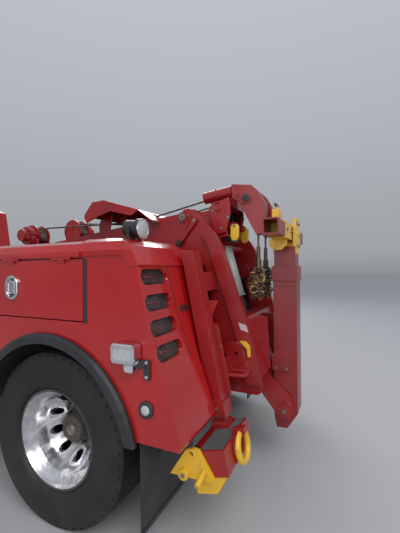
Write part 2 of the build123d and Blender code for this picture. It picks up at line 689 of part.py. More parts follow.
# flares and flaps
flare_in, flare_out = body_half - 13, body_half + 33
flare = turned([(flare_in, arch_radius - 14), (flare_out, arch_radius - 14), (flare_out, arch_radius + 30),
                (flare_out - 12, arch_radius + flare_width), (body_half + seat_gap,
                    arch_radius + flare_width),
                (body_half + seat_gap, arch_radius - seat_gap), (flare_in, arch_radius - seat_gap)],
                z=tyre_radius)
flare -= block(-800, 800, flare_in - 100, beyond, -400, 640)
flap = block(-655, -645, side_inner_y + 40, body_half - 10, 180, body_floor_z + 6.2)
keep("flares_and_flaps", both(flare + flap))

# tail lamps in the pockets
lamps = []
for z in pocket_z:
    face_plane = Plane(origin=(rear_x(z), pocket_y, z), x_dir=(0, -1, 0), z_dir=(-1, 0, 0.25))
    face_plane = face_plane.offset(-pocket_depth + seat_gap)
    lamps.append(extrude(face_plane * Pos(-50, 0) * SlotOverall(146, 66), amount=12).solid())
side_lamp = rod((-696, body_half, 840), (-696, body_half + 14, 840), 25)
strobe = fillet(block(-670, -529, body_half + 6, body_half + 66, 1072, 1170).edges().filter_by(Axis.Y), 22)
strobe += fillet(block(-657, -603, body_half + 12, body_half + 58, 1031, 1080).edges().filter_by(Axis.Y), 12)
strobe += block(-700, -610, body_half + 6, body_half + 18, 1046, 1084)
strobe += block(-722, -687, body_half, body_half + 12, 990, 1088)
lamp_y = body_half - 235
post = rod((-446, lamp_y, roof_z), (-446, lamp_y, 1770), 16)
work = rod((-408, lamp_y, 1782), (-505, lamp_y, 1774), 50) + rod((-490, lamp_y, 1775), (-520, lamp_y, 1772.5),
    60)
lamps += [side_lamp.solid(), strobe.solid(), (post + work).solid()]
all_lamps = Compound(children=lamps)
keep("rear_lamps", both(all_lamps))

# tower: two side plates with a rear flange, joined by cross members
tower_rear = [(-582, 1965), (-754, 1787), (-806, 1700), (-899, 1419), (-955, 1249), (-1016, 1050),
              (-1081, 755)]
tower_outline = [(-482, 1948), (-505, 1976), (-545, 1980)] + tower_rear
tower_outline += [(-1074, 700), (-1050, 682), (-740, 682), (-300, 740), (-180, 985), (-60, 1140),
                  (-260, 1560), (-345, 1705)]
tower_side = side_plate(tower_outline, tower_y - tower_plate, tower_y)
window = rounded_side_plate([(-560, 1130), (-760, 1130), (-672, 1560), (-560, 1600)], 30, 300, 600)
window += rounded_side_plate([(-420, 1130), (-250, 1130), (-350, 1480), (-430, 1560)], 25, 300, 600)
tower_side -= window
beam_front = [(x + beam_depth, z) for x, z in tower_rear[1:]]
tower_side += side_plate(tower_rear[1:] + beam_front[::-1], tower_y - 1, tower_y + beam_rise)
tower_side += side_plate([(-575, 1930), (-465, 1930), (-300, 1640), (-400, 1640), (-510, 1790)], tower_y - 1,
                         tower_y + 12)
# holder for a stake: an upright plate with two holes over a flange with an open slot
holder_y = tower_y + beam_rise
holder = side_plate([(-812, 850), (-812, 985), (-850, 1032), (-905, 1040), (-958, 1020), (-1004, 850)],
                    holder_y - 1, holder_y + 14)
for hole_x, hole_z in ((-838, 947), (-918, 962)):
    holder -= rod((hole_x, holder_y - 5, hole_z), (hole_x, holder_y + 20, hole_z), 12)
holder += block(-824, -812, tower_y - 1, holder_y + 14, 850, 985)
socket = flat_plate([(-1020, tower_y - 1), (-1000, holder_y + 95), (-880, holder_y + 118),
                     (-836, holder_y + 60),
                     (-836, tower_y - 1)], 834, 852)
socket -= block(-975, -885, holder_y + 34, holder_y + 84, 800, 880)
holder += socket + side_plate([(-990, 836), (-850, 836), (-850, 790), (-930, 770)], tower_y - 1,
                              holder_y + 20)
tower_side += holder
tower_side += rod((-690, tower_y - 105, 1510), (-690, tower_y - 50, 1510), 70)
tower_side += rod((-690, tower_y - 115, 1510), (-690, tower_y - tower_plate + 1, 1510), 24)
tower_side += rod((-505, tower_y - 60, 1915), (-505, tower_y + 24, 1915), 38)
tower = tower_side + mirror_y(tower_side)
tower += block(-800, -700, -tower_y + 1, tower_y - 1, 690, 790)
tower += block(-560, -440, -tower_y + 1, tower_y - 1, 1020, 1120)
tower += block(-330, -230, -tower_y + 1, tower_y - 1, 1190, 1230)
slope = math.tan(math.radians(incline))
rest_z = 1716.0
tower += rod((-480, -tower_y + 1, rest_z - 30), (-480, tower_y - 1, rest_z - 30), 30)
tower += rod((-655, -tower_y + 1, 1700), (-655, tower_y - 1, 1700), 28)
jack_top = (-668, 0, 1716)
jack_low = (jack_top[0] - 400 * slope, 0, jack_top[2] - 400)
tower += rod(jack_top, jack_low, 46)
tower += rod(jack_low, (jack_low[0] - 14 * slope, 0, jack_low[2] - 14), 52)
pedestal = side_plate([(boom_pivot_x - 330, deck_z), (boom_pivot_x + 240, deck_z),
                       (boom_pivot_x + 110, boom_pivot_z + 60), (boom_pivot_x + 50, boom_pivot_z + 105),
                       (boom_pivot_x - 50, boom_pivot_z + 105), (boom_pivot_x - 110, boom_pivot_z + 50)],
                      boom_width / 2 + 6, boom_width / 2 + 36)
pedestal += rod((boom_pivot_x, boom_width / 2 + 36, boom_pivot_z), (boom_pivot_x, boom_width / 2 + 56,
    boom_pivot_z), 62)
tower += pedestal + mirror_y(pedestal)
tower += rod((boom_pivot_x, -boom_width / 2 - 40, boom_pivot_z), (boom_pivot_x, boom_width / 2 + 40,
    boom_pivot_z),
             boom_pin_radius)
tower += rod((lift_base_x, -rail_outer_y + 80, lift_base_z), (lift_base_x, rail_outer_y - 80, lift_base_z),
             34)
keep("tower", tower)

# stabiliser legs: square guides on the body's rear and inner legs with feet
def leg_bar(side_size, depth, z0, z1):
    half = depth / 2
    points = [(leg_x(z0) - half, z0), (leg_x(z0) + half, z0), (leg_x(z1) + half, z1), (leg_x(z1) - half, z1)]
    return side_plate(points, leg_y - side_size / 2, leg_y + side_size / 2)


inner_side, inner_depth = leg_side - 2 * leg_wall, leg_depth - 2 * leg_wall
guide = leg_bar(leg_side, leg_depth, 660, 1650) - leg_bar(inner_side, inner_depth, 600, 1640)
guide += leg_bar(leg_side + 24, leg_depth + 24, 655, 745) - leg_bar(inner_side, inner_depth, 600, 800)
guide_in_y = leg_y - leg_side / 2
for tie_z in (1450, 880):
    tie_x = leg_x(tie_z)
    guide += side_plate([(tie_x - 40, tie_z - 60), (tie_x + 24, tie_z - 60), (tie_x + 48, tie_z + 60),
                         (tie_x - 16, tie_z + 60)], tower_y - 1, guide_in_y + 2)
guide += side_plate([(-762, 1334), (-865, 1331), (-816, 1221)], guide_in_y - 8, guide_in_y + leg_wall - 2)
guide += side_plate([(leg_x(1195) - 36, 1195), (leg_x(1180) - 72, 1180), (leg_x(760) - 72, 760),
                     (leg_x(760) - 36, 760)],
                    guide_in_y - 8, guide_in_y + leg_wall - 2)
nodes["tower"] = nodes["tower"] + guide + mirror_y(guide)

# each foot: a box tilted with its leg, a toothed wedge under it, a spade plate at its end, a ring at its rear
foot_top = [(-1035, 622), (-843, 574)]
foot_low = [(-1062, 495), (-871, 447)]
ring_radius, ring_wire = 76.0, 18.0
ring_y = (foot_y0 + foot_y1) / 2
for side_name, sign in (("left", 1), ("right", -1)):
    inner_leg = leg_bar(inner_side - 2 * leg_fit, inner_depth - 2 * leg_fit, 540, 1560)
    foot = side_plate([foot_top[0], foot_low[0], foot_low[1], foot_top[1]], foot_y0, foot_y1)
    foot += inner_leg
    foot += leg_bar(inner_side + 26, inner_depth + 26, 560, 622)
    wedge = side_plate([(-1058, 497), (-1008, 402), (-989, 388), (-885, 362), (-873, 449)], foot_y0 + 25,
                       foot_y1 - 6)
    tooth_count = 5
    tooth_step = (foot_y1 - foot_y0 - 31) / tooth_count
    for k in range(tooth_count):
        y_gap = foot_y0 + 25 + tooth_step * (k + 0.5)
        wedge -= cross_plate([(y_gap - 17, 350), (y_gap, 424), (y_gap + 17, 350)], -1100, -800)
    foot += wedge
    spade = side_plate([(-828, 590), (-880, 607), (-905, 600), (-991, 471), (-970, 455), (-735, 445)],
                       foot_y1 - 1, foot_y1 + 20)
    spade -= rod((-863, foot_y1 - 20, 577), (-863, foot_y1 + 30, 577), 12)
    spade += rod((-823, foot_y1 + 10, 468), (-823, foot_y1 + 34, 468), 15)
    spade += rod((-936, foot_y1 + 16, 507), (-928, foot_y1 + 92, 468), 15)
    ring_place = Pos(-1071, ring_y, 555) * Rot(0, 90 + leg_lean, 0)
    hook_ring = ring_place * Torus(ring_radius, ring_wire)
    ring_lug = side_plate([(-1036, 618), (-1092, 632), (-1084, 664), (-1020, 648), (-1020, 618)],
                          ring_y - 24, ring_y + 24)
    foot -= rod((-863, foot_y1 - 60, 577), (-863, foot_y1, 577), 26)  # room behind the plate's hole
    foot = foot + spade + hook_ring + ring_lug
    if sign < 0:
        foot = mirror_y(foot)
    keep("stabiliser_foot_" + side_name, foot)


# boom: a box on the pivot line, a smaller tip box, cheeks, rope tubes and the rope guard
def boom_place(shape):
    return Pos(boom_pivot_x, 0, boom_pivot_z) * Rot(0, boom_angle, 0) * shape


half_h = boom_height / 2
half_w = boom_width / 2
tip_w, tip_h = half_w - boom_wall - 8, half_h - boom_wall - 8
boom = block(-boom_reach, 70, -half_w, half_w, -half_h, half_h)
boom -= block(-boom_reach - 10, -120, -half_w + boom_wall, half_w - boom_wall, -half_h + boom_wall,
              half_h - boom_wall)
boom += block(-boom_reach - 14, -boom_reach + 60, -half_w - 10, half_w + 10, -half_h - 10, half_h + 10) \
    - block(-boom_reach - 20, -boom_reach + 80, -tip_w, tip_w, -tip_h, tip_h)
tip = block(-tip_reach, -boom_reach + 500, -tip_w, tip_w, -tip_h, tip_h)
tip -= block(-tip_reach - 10, -boom_reach + 480, -tip_w + 12, tip_w - 12, -tip_h + 12, tip_h - 12)
boom += tip
boom -= rod((0, -half_w - 1, 0), (0, half_w + 1, 0), boom_pin_radius + bore_clearance)
lug = side_plate([(-lift_pin_reach - 70, -half_h + 2), (-lift_pin_reach + 70, -half_h + 2),
                  (-lift_pin_reach + 40, -half_h - lift_pin_drop - 40), (-lift_pin_reach - 40,
                      -half_h - lift_pin_drop - 40)],
                 0, 16)
for lug_y in (lift_y - 60, lift_y + 44, -lift_y - 60, -lift_y + 44):
    boom += Pos(0, lug_y, 0) * lug
boom = boom_place(boom)

cheek_outline = [(-588, 2024), (-640, 2060), (-762, 2094), (-776, 1965), (-735, 1822), (-645, 1806)]
for cheek_y in (half_w - 8, -half_w - 8):
    boom += side_plate(cheek_outline, cheek_y, cheek_y + 16)
boom += side_plate([(-600, 2004), (-640, 2058), (-758, 2092), (-770, 2030), (-725, 2018)], -half_w + 8,
                   half_w - 8)
for sign in (1, -1):
    guide_front, guide_back = (-530, sign * head_y, 2117), (-772, sign * head_y, 2150)
    saddle = side_plate([(-620, 2030), (-560, 2100), (-750, 2126), (-750, 2080)], sign * head_y - 10,
                        sign * head_y + 10)
    boom += rod(guide_front, guide_back, guide_radius) + saddle
    boom -= rod(guide_front, guide_back, guide_bore)
hood_line = [(588, 2032), (490, 2145), (357, 2151), (-7, 2039), (-136, 1946)]
hood_under = [(x - 8, z - hood_plate) for x, z in hood_line]
hood = side_plate(hood_line + hood_under[::-1], -345, 345)
for sign in (1, -1):
    hood -= block(-112, -22, sign * head_y - 26, sign * head_y + 26, 1930, 2070)
hood_cheek = side_plate([(588, 2018), (482, 2136), (357, 2140), (-7, 2030), (60, 1990), (285, 2046),
                         (420, 2010), (560, 1960)], 333, 345)
hood_leg = side_plate([(560, 1965), (470, 2130), (380, 2136), (430, 1900), (560, 1895)], half_w - 12, half_w)
tail_leg = side_plate([(20, 2040), (-60, 2000), (-40, 1950), (40, 1945)], half_w - 12, half_w)
boom += hood + hood_cheek + mirror_y(hood_cheek) + hood_leg + mirror_y(hood_leg)
boom += tail_leg + mirror_y(tail_leg)
keep("boom", boom)

# rope heads: sheave between two plates, with the rope's end and hook
head_outline = [(-778, 2200), (-940, 2176), (-992, 2124), (-1044, 2034), (-1046, 1880), (-1030, 1800),
                (-975, 1790),
                (-883, 1965), (-822, 2062), (-782, 2094)]
for side_name, sign in (("left", 1), ("right", -1)):
    y0 = sign * head_y
    head = side_plate(head_outline, y0 - head_half, y0 - head_half + head_plate)
    head += side_plate(head_outline, y0 + head_half - head_plate, y0 + head_half)
    back = head_outline[:6]
    back_in = [(-790, 2192), (-937, 2170), (-985, 2120), (-1034, 2030), (-1032, 1880), (-1018, 1800)]
    head += side_plate(back + back_in[::-1], y0 - head_half, y0 + head_half)
    wheel = turned([(-22, 0), (22, 0), (22, sheave_radius), (14, sheave_radius), (5, sheave_radius - groove),
                    (-5, sheave_radius - groove), (-14, sheave_radius), (-22, sheave_radius)], y=y0,
                    x=sheave_x, z=sheave_z)
    pin = rod((sheave_x, y0 - head_half - 12, sheave_z), (sheave_x, y0 + head_half + 12, sheave_z), 24)
    sleeve_dir = Vector(-772 + 530, 0, 2150 - 2117).normalized()
    mouth = Vector(-772, y0, 2150)
    collar = rod(mouth + sleeve_dir * 5, mouth + sleeve_dir * 26, 46)
    collar += rod(mouth - sleeve_dir * 60, mouth + sleeve_dir * 6, guide_bore - bore_clearance)
    head = head + collar - rod(mouth - sleeve_dir * 70, mouth + sleeve_dir * 60, 20)
    head += wheel + pin
    rope_turn = sheave_radius - groove + rope_radius + seat_gap
    rope_x = sheave_x - rope_turn
    rope_start = Plane.XY.offset(sheave_z) * Pos(rope_x, y0) * Circle(rope_radius)
    rope = revolve(rope_start, axis=Axis((sheave_x, y0, sheave_z), (0, 1, 0)), revolution_arc=90)
    rope += rod((rope_x, y0, sheave_z), (rope_x, y0, 1650), rope_radius)
    rope += rod((sheave_x, y0, sheave_z + rope_turn), (-796, y0, sheave_z + rope_turn), rope_radius)
    rope += rod((rope_x, y0, 1700), (rope_x, y0, 1600), 15)
    rope += rod((rope_x, y0, 1600), (rope_x, y0, 1536), 22)
    rope += Pos(rope_x, y0, 1500) * Rot(90, 0, 0) * Torus(38, 13)
    keep("rope_head_" + side_name, Compound(children=[head.solid(), rope.solid()]))

# winches on the boom and their ropes, placed in the boom's own frame
winch_stations = (-350.0, -770.0)
drum_radius, drum_flange, drum_height = 78.0, 120.0, 132.0
drum_in_y, drum_out_y = 20.0, 156.0
winch_z = half_h + drum_height
winch_parts = []
for station, sign in zip(winch_stations, (1, -1)):
    winch = turned([(drum_in_y, 0), (drum_out_y, 0), (drum_out_y, drum_flange), (drum_out_y - 14,
        drum_flange),
                    (drum_out_y - 14, drum_radius), (drum_in_y + 14, drum_radius),
                    (drum_in_y + 14, drum_flange),
                    (drum_in_y, drum_flange)], x=station, z=winch_z)
    for stand_y in (drum_in_y - 14, drum_out_y - 1):
        winch += side_plate([(station - 110, half_h), (station + 110, half_h), (station + 60, winch_z + 50),
                             (station - 60, winch_z + 50)], stand_y, stand_y + 15)
    winch += rod((station, drum_out_y, winch_z), (station, drum_out_y + 70, winch_z), 96)
    winch += rod((station, drum_out_y + 60, winch_z), (station, drum_out_y + 130, winch_z), 62)
    winch_parts += (winch if sign > 0 else mirror_y(winch)).solids()
keep("winches", boom_place(Compound(children=winch_parts)))
ropes = []
wrap_radius = drum_radius + rope_radius + seat_gap
for station, sign in zip(winch_stations, (1, -1)):
    drum_centre = boom_place(Pos(station, sign * 88, winch_z) * Sphere(1)).center()
    bend = (150, sign * head_y, 1966)
    toward = Vector(bend[0] - drum_centre.X, 0, bend[2] - drum_centre.Z)
    swing = math.degrees(math.acos(wrap_radius / toward.length))
    start = drum_centre + toward.normalized().rotate(Axis.Y, swing) * wrap_radius
    run = rod(start, bend, rope_radius) + rod(bend, (-790, sign * head_y, 2148), rope_radius)
    run += Pos(*bend) * Sphere(rope_radius)
    ropes.append(run.solid())
keep("winch_ropes", Compound(children=ropes))

# lift cylinders under the boom; the rod's eye is the open end of the linkage
pin_vec = Vector(-lift_pin_reach, 0, -half_h - lift_pin_drop).rotate(Axis.Y, boom_angle)
lift_pin = Vector(boom_pivot_x, 0, boom_pivot_z) + pin_vec
lift_base = Vector(lift_base_x, 0, lift_base_z)
along = (lift_pin - lift_base).normalized()
closed = (lift_pin - lift_base).length
barrels, rods = None, None
for y0 in (lift_y, -lift_y):
    shift = Vector(0, y0, 0)
    base = lift_base + shift
    body_end = base + along * (closed - 118)
    barrel = rod(base + along * 40, body_end, barrel_radius)
    barrel -= rod(base + along * 80, body_end + along, lift_rod_radius + 12)
    gland = rod(body_end - along * 30, body_end, barrel_radius + 6)
    barrel += gland - rod(body_end - along * 31, body_end + along, lift_rod_radius + 0.5)
    eye = rod((base.X, y0 - 36, base.Z), (base.X, y0 + 36, base.Z), 58)
    barrel = barrel + eye - rod((base.X, y0 - 40, base.Z), (base.X, y0 + 40, base.Z), 34 + bore_clearance)
    barrels = barrel if barrels is None else barrels + barrel
    tip_eye = lift_pin + shift
    shaft = rod(base + along * 84, tip_eye - along * 20, lift_rod_radius)
    shaft += rod((tip_eye.X, y0 - 32, tip_eye.Z), (tip_eye.X, y0 + 32, tip_eye.Z), 50)
    rods = shaft if rods is None else rods + shaft
keep("lift_barrels", barrels)
keep("lift_rods", rods)

# underlift: carriage on the incline, folding arm, sliding stage, crossbar
def track_x(z):
    """Rear face of the tower's track at a height."""
    return -1042 - (830 - z) * slope


slab = side_plate([(track_x(770), 770), (track_x(1180), 1180), (track_x(1180) + 96, 1180), (track_x(770) + 96,
    770)],
                  -tower_y + tower_plate + seat_gap, tower_y - tower_plate - seat_gap)
lug_y0 = arm_half_width + lug_gap
lug = side_plate([(-860, 1160), (-1040, 1160), (-1066, 700), (-1212, 570), (-1236, 470), (-1205, 400),
                  (-1130, 385),
                  (-1074, 470), (-1015, 545), (-975, 600), (-866, 790)], lug_y0, lug_y0 + lug_plate)
lug += rod((arm_x, lug_y0 + lug_plate - 1, arm_pin_z), (arm_x, lug_y0 + lug_plate + 12, arm_pin_z),
           arm_pin_radius + 22)
carriage = slab + lug + mirror_y(lug)
carriage -= rod((arm_x, -300, arm_pin_z), (arm_x, 300, arm_pin_z), arm_pin_radius + seat_gap)
foot_z = 1170
jack_rod_end = (jack_low[0] - (jack_low[2] - foot_z) * slope, 0, foot_z)
carriage += side_plate([(-880, 1140), (-800, 1140), (-788, 1182), (-880, 1182)], -45, 45)
carriage += rod((jack_low[0] + 300 * slope, 0, jack_low[2] + 300), jack_rod_end, 25)
pin_end = lug_y0 + lug_plate + 13
fold_pin = rod((arm_x, -pin_end, arm_pin_z), (arm_x, pin_end, arm_pin_z), arm_pin_radius)
for sign in (1, -1):
    fold_pin += rod((arm_x, sign * (pin_end - 0.5), arm_pin_z), (arm_x, sign * (pin_end + 9), arm_pin_z),
                    arm_pin_radius + 9)
tower_bore = rod((jack_low[0] + 330 * slope, 0, jack_low[2] + 330), (jack_low[0] - 30 * slope, 0,
    jack_low[2] - 30), 25.3)
nodes["tower"] = nodes["tower"] - tower_bore
keep("underlift_carriage", Compound(children=[carriage.solid(), fold_pin.solid()]))

ax0, ax1 = arm_x - arm_half_depth, arm_x + arm_half_depth
arm_outline = [(ax0, 443), (ax0, arm_top_z + 1), (ax1, arm_top_z + 1), (ax1, 401), (ax1 - 18, 318),
               (ax1 - 96, 322)]
arm = side_plate(arm_outline, -arm_half_width, arm_half_width)
arm += block(ax0 - collar_wall, ax1 + collar_wall, -arm_half_width - 6, arm_half_width + 6, arm_top_z,
             collar_top_z)
arm -= block(ax0 + arm_wall, ax1 - arm_wall, -arm_half_width + arm_wall, arm_half_width - arm_wall, 530, 1700)
arm -= rod((arm_x, -200, arm_pin_z), (arm_x, 200, arm_pin_z), arm_pin_radius + bore_clearance)
keep("underlift_arm", arm)

sx0, sx1 = ax0 + arm_wall + slide_gap, ax1 - arm_wall - slide_gap
stage_half = arm_half_width - arm_wall - slide_gap
stage = block(sx0, sx1, -stage_half, stage_half, 560, stage_top_z)
stage -= block(sx0 + 10, sx1 - 10, -stage_half + 10, stage_half - 10, 550, stage_top_z - 20)
bar_x0, bar_x1 = arm_x - crossbar_side / 2, arm_x + crossbar_side / 2
fork = block(bar_x1 + fork_gap, bar_x1 + fork_gap + fork_plate, -75, 75, 1640, 1985)
fork += block(bar_x0 - fork_gap - fork_plate, bar_x0 - fork_gap, -75, 75, 1640, 1900)
fork += block(sx0, sx1, -40, 40, stage_top_z - 1, stage_top_z + 22)
fork += rod((bar_x0 - fork_gap - fork_plate - 6, 0, crossbar_z), (bar_x1 + fork_gap + fork_plate + 6, 0,
    crossbar_z), swivel_pin_radius)
fork += rod((bar_x1 + 20, 0, 1980), (bar_x1 + 20, 0, 2035), 10)
keep("underlift_stage", stage + fork)

bar = block(bar_x0, bar_x1, -crossbar_half, crossbar_half, crossbar_z - crossbar_side / 2,
            crossbar_z + crossbar_side / 2)
bar = fillet(bar.edges().filter_by(Axis.Y), 14)
hollow = block(bar_x0 + crossbar_wall, bar_x1 - crossbar_wall, 60, crossbar_half + 5,
               crossbar_z - crossbar_side / 2 + crossbar_wall, crossbar_z + crossbar_side / 2 - crossbar_wall)
bar = bar - hollow - mirror_y(hollow)
bar -= rod((-1400, 0, crossbar_z), (-1000, 0, crossbar_z), swivel_pin_radius + bore_clearance)
keep("crossbar", bar)

for name, shape in nodes.items():
    export_step(shape.moved(Location((origin_shift, 0, 0))), "parts/" + name + ".step")
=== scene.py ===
import bpy
import bmesh
import json
import math
import random
from mathutils import Matrix, Vector


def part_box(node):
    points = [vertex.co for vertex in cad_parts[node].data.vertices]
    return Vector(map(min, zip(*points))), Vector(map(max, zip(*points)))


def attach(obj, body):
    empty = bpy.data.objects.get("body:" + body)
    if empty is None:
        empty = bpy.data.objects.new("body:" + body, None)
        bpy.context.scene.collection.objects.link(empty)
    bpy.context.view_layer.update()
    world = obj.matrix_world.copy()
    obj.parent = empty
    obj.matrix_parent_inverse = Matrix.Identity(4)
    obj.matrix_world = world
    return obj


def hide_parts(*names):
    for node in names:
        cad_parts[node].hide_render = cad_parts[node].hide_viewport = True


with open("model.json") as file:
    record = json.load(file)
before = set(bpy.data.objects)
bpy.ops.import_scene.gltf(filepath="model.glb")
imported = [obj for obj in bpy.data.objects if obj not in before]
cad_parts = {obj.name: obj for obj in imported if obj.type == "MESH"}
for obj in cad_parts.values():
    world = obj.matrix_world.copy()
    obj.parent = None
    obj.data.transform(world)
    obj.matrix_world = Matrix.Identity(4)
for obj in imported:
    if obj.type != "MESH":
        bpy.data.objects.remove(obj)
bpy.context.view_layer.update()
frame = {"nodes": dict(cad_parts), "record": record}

random.seed(7)
print("stage: frame loaded")

# Stations below are measured forward from the rear axle, in metres, as on a chassis drawing.
rearLow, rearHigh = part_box("tyres_rear_left")
axleX = (rearLow.x + rearHigh.x) / 2
tyreRadius = rearHigh.z / 2
frontLow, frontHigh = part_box("tyre_front_left")
frontX = (frontLow.x + frontHigh.x) / 2
signs = {"left": 1, "right": -1}
mat = {}  # materials by name


def at(place, y, z):
    return Vector((axleX + place, y, z))


def station(point):
    return point.x - axleX


def newObject(name, data):
    obj = bpy.data.objects.new(name, data)
    bpy.context.scene.collection.objects.link(obj)
    return obj


# Materials: small helpers first, then shared node groups, then one function for each finish.
def plug(tree, value, socket):
    if isinstance(value, bpy.types.NodeSocket):
        tree.links.new(value, socket)
    else:
        socket.default_value = value


def feed(tree, node, **inputs):
    for key, value in inputs.items():
        plug(tree, value, node.inputs[key.replace("_", " ")])


def addNode(tree, kind, **inputs):
    node = tree.nodes.new(kind)
    feed(tree, node, **inputs)
    return node


def newMaterial(name):
    mat[name] = bpy.data.materials.new(name)
    mat[name].use_nodes = True
    tree = mat[name].node_tree
    tree.nodes.clear()
    shader = addNode(tree, "ShaderNodeBsdfPrincipled")
    addNode(tree, "ShaderNodeOutputMaterial", Surface=shader.outputs["BSDF"])
    return tree, shader


def maths(tree, operation, a, b, clamp=False):
    node = tree.nodes.new("ShaderNodeMath")
    node.operation = operation
    node.use_clamp = clamp
    plug(tree, a, node.inputs[0])
    plug(tree, b, node.inputs[1])
    return node.outputs[0]


def mixColour(tree, factor, a, b):
    node = tree.nodes.new("ShaderNodeMix")
    node.data_type = "RGBA"
    for index, value in ((0, factor), (6, a), (7, b)):
        plug(tree, (*value, 1.0) if isinstance(value, tuple) else value, node.inputs[index])
    return node.outputs[2]


def spread(tree, value, low, high, outLow=0.0, outHigh=1.0):
    return addNode(tree, "ShaderNodeMapRange", Value=value, From_Min=low, From_Max=high,
                   To_Min=outLow, To_Max=outHigh).outputs["Result"]


def noise(tree, point, scale, detail, **more):
    node = addNode(tree, "ShaderNodeTexNoise", Vector=point, Scale=scale, Detail=detail, **more)
    return node.outputs["Fac"]


def mapped(tree, point, **inputs):
    return addNode(tree, "ShaderNodeMapping", Vector=point, **inputs).outputs["Vector"]


def objectPoint(tree):
    return addNode(tree, "ShaderNodeTexCoord").outputs["Object"]


def newGroup(name, inputs, outputs):
    tree = bpy.data.node_groups.new(name, "ShaderNodeTree")
    for label, value in inputs.items():
        socket = tree.interface.new_socket(name=label, in_out="INPUT", socket_type="NodeSocketFloat")
        socket.default_value = value
    for label in outputs:
        tree.interface.new_socket(name=label, in_out="OUTPUT", socket_type="NodeSocketFloat")
    return tree, tree.nodes.new("NodeGroupInput").outputs, tree.nodes.new("NodeGroupOutput")


# Road dust: thick near the floor, patchy, and gone above the given height.
dustSpec = {"patchScale": 6.0, "patch": (0.38, 0.72, 0.15, 1.0),
            "grainScale": 90.0, "grain": (0.3, 0.7, 0.6, 1.0)}


def makeDustGroup(spec):
    tree, given, result = newGroup("roadDust", {"Height": 1.2, "Amount": 0.4}, ["Mask"])
    point = objectPoint(tree)
    patch = spread(tree, noise(tree, point, spec["patchScale"], 8.0, Roughness=0.62), *spec["patch"])
    grain = spread(tree, noise(tree, point, spec["grainScale"], 3.0), *spec["grain"])
    z = addNode(tree, "ShaderNodeSeparateXYZ", Vector=point).outputs["Z"]
    near = maths(tree, "SUBTRACT", 1.0, maths(tree, "DIVIDE", z, given["Height"]), clamp=True)
    mask = maths(tree, "MULTIPLY", maths(tree, "MULTIPLY", near, patch), grain)
    feed(tree, result, Mask=maths(tree, "MULTIPLY", mask, given["Amount"], clamp=True))
    return tree


# The faint ripple of sprayed paint, and a slow change of shade across a panel.
peelSpec = {"shadeScale": 2.6}


def makePeelGroup(spec):
    tree, given, result = newGroup("sprayRipple", {"Scale": 220.0}, ["Height", "Shade"])
    point = objectPoint(tree)
    feed(tree, result, Height=noise(tree, point, given["Scale"], 2.0),
         Shade=noise(tree, point, spec["shadeScale"], 3.0))
    return tree


# Chips and scuffs: sharp-edged spots from a noise threshold, with long scratches.
wearSpec = {"turn": (0.4, 0.9, 0.3), "stretch": (3.0, 60.0, 9.0), "edge": 0.78, "reach": 0.3,
            "chip": (0.0, 0.03, 0.0, 1.0), "scuff": (0.0, 0.05, 0.0, 0.6)}


def makeWearGroup(spec):
    tree, given, result = newGroup("chipsAndScuffs", {"Cover": 0.3, "Scale": 14.0}, ["Mask"])
    point = objectPoint(tree)
    spots = noise(tree, point, given["Scale"], 10.0, Roughness=0.7)
    lines = noise(tree, mapped(tree, point, Rotation=spec["turn"], Scale=spec["stretch"]), 3.0, 4.0)
    edge = maths(tree, "SUBTRACT", spec["edge"], maths(tree, "MULTIPLY", given["Cover"], spec["reach"]))
    chip = spread(tree, maths(tree, "SUBTRACT", spots, edge), *spec["chip"])
    scuff = spread(tree, maths(tree, "SUBTRACT", lines, edge), *spec["scuff"])
    feed(tree, result, Mask=maths(tree, "MAXIMUM", chip, scuff, clamp=True))
    return tree


dustGroup, peelGroup, wearGroup = makeDustGroup(dustSpec), makePeelGroup(peelSpec), makeWearGroup(wearSpec)


def useGroup(tree, group, **inputs):
    node = tree.nodes.new("ShaderNodeGroup")
    node.node_tree = group
    feed(tree, node, **inputs)
    return node.outputs


def dustMask(tree, look):
    return useGroup(tree, dustGroup, Height=look["dustHeight"], Amount=look["dust"])["Mask"]


def bumpInto(tree, shader, height, strength, distance):
    bump = addNode(tree, "ShaderNodeBump", Strength=strength, Distance=distance, Height=height)
    feed(tree, shader, Normal=bump.outputs["Normal"])


dustColour = (0.23, 0.20, 0.17)
steelColour = (0.30, 0.28, 0.26)
rustColour = (0.12, 0.06, 0.03)
middling = (0.3, 0.7)  # most of a noise's values lie between these


def sprayedPaint(name, look):
    tree, shader = newMaterial(name)
    peel = useGroup(tree, peelGroup, Scale=look.get("ripple", 260.0))
    dust = dustMask(tree, look)
    wear = useGroup(tree, wearGroup, Cover=look["wear"], Scale=16.0)["Mask"]
    colour = mixColour(tree, spread(tree, peel["Shade"], *middling), look["colour"], look["deep"])
    colour = mixColour(tree, wear, colour, look.get("chip", steelColour))
    colour = mixColour(tree, dust, colour, dustColour)
    rough = maths(tree, "ADD", maths(tree, "MULTIPLY", dust, 0.5), look["roughness"])
    rough = maths(tree, "ADD", rough, maths(tree, "MULTIPLY", wear, 0.2), clamp=True)
    coat = maths(tree, "MULTIPLY", maths(tree, "SUBTRACT", 1.0, dust), look["coat"], clamp=True)
    feed(tree, shader, Base_Color=colour, Roughness=rough, Coat_Weight=coat,
         Coat_Roughness=look.get("coatRoughness", 0.05))
    bumpInto(tree, shader, peel["Height"], look.get("bump", 0.05), 0.0006)


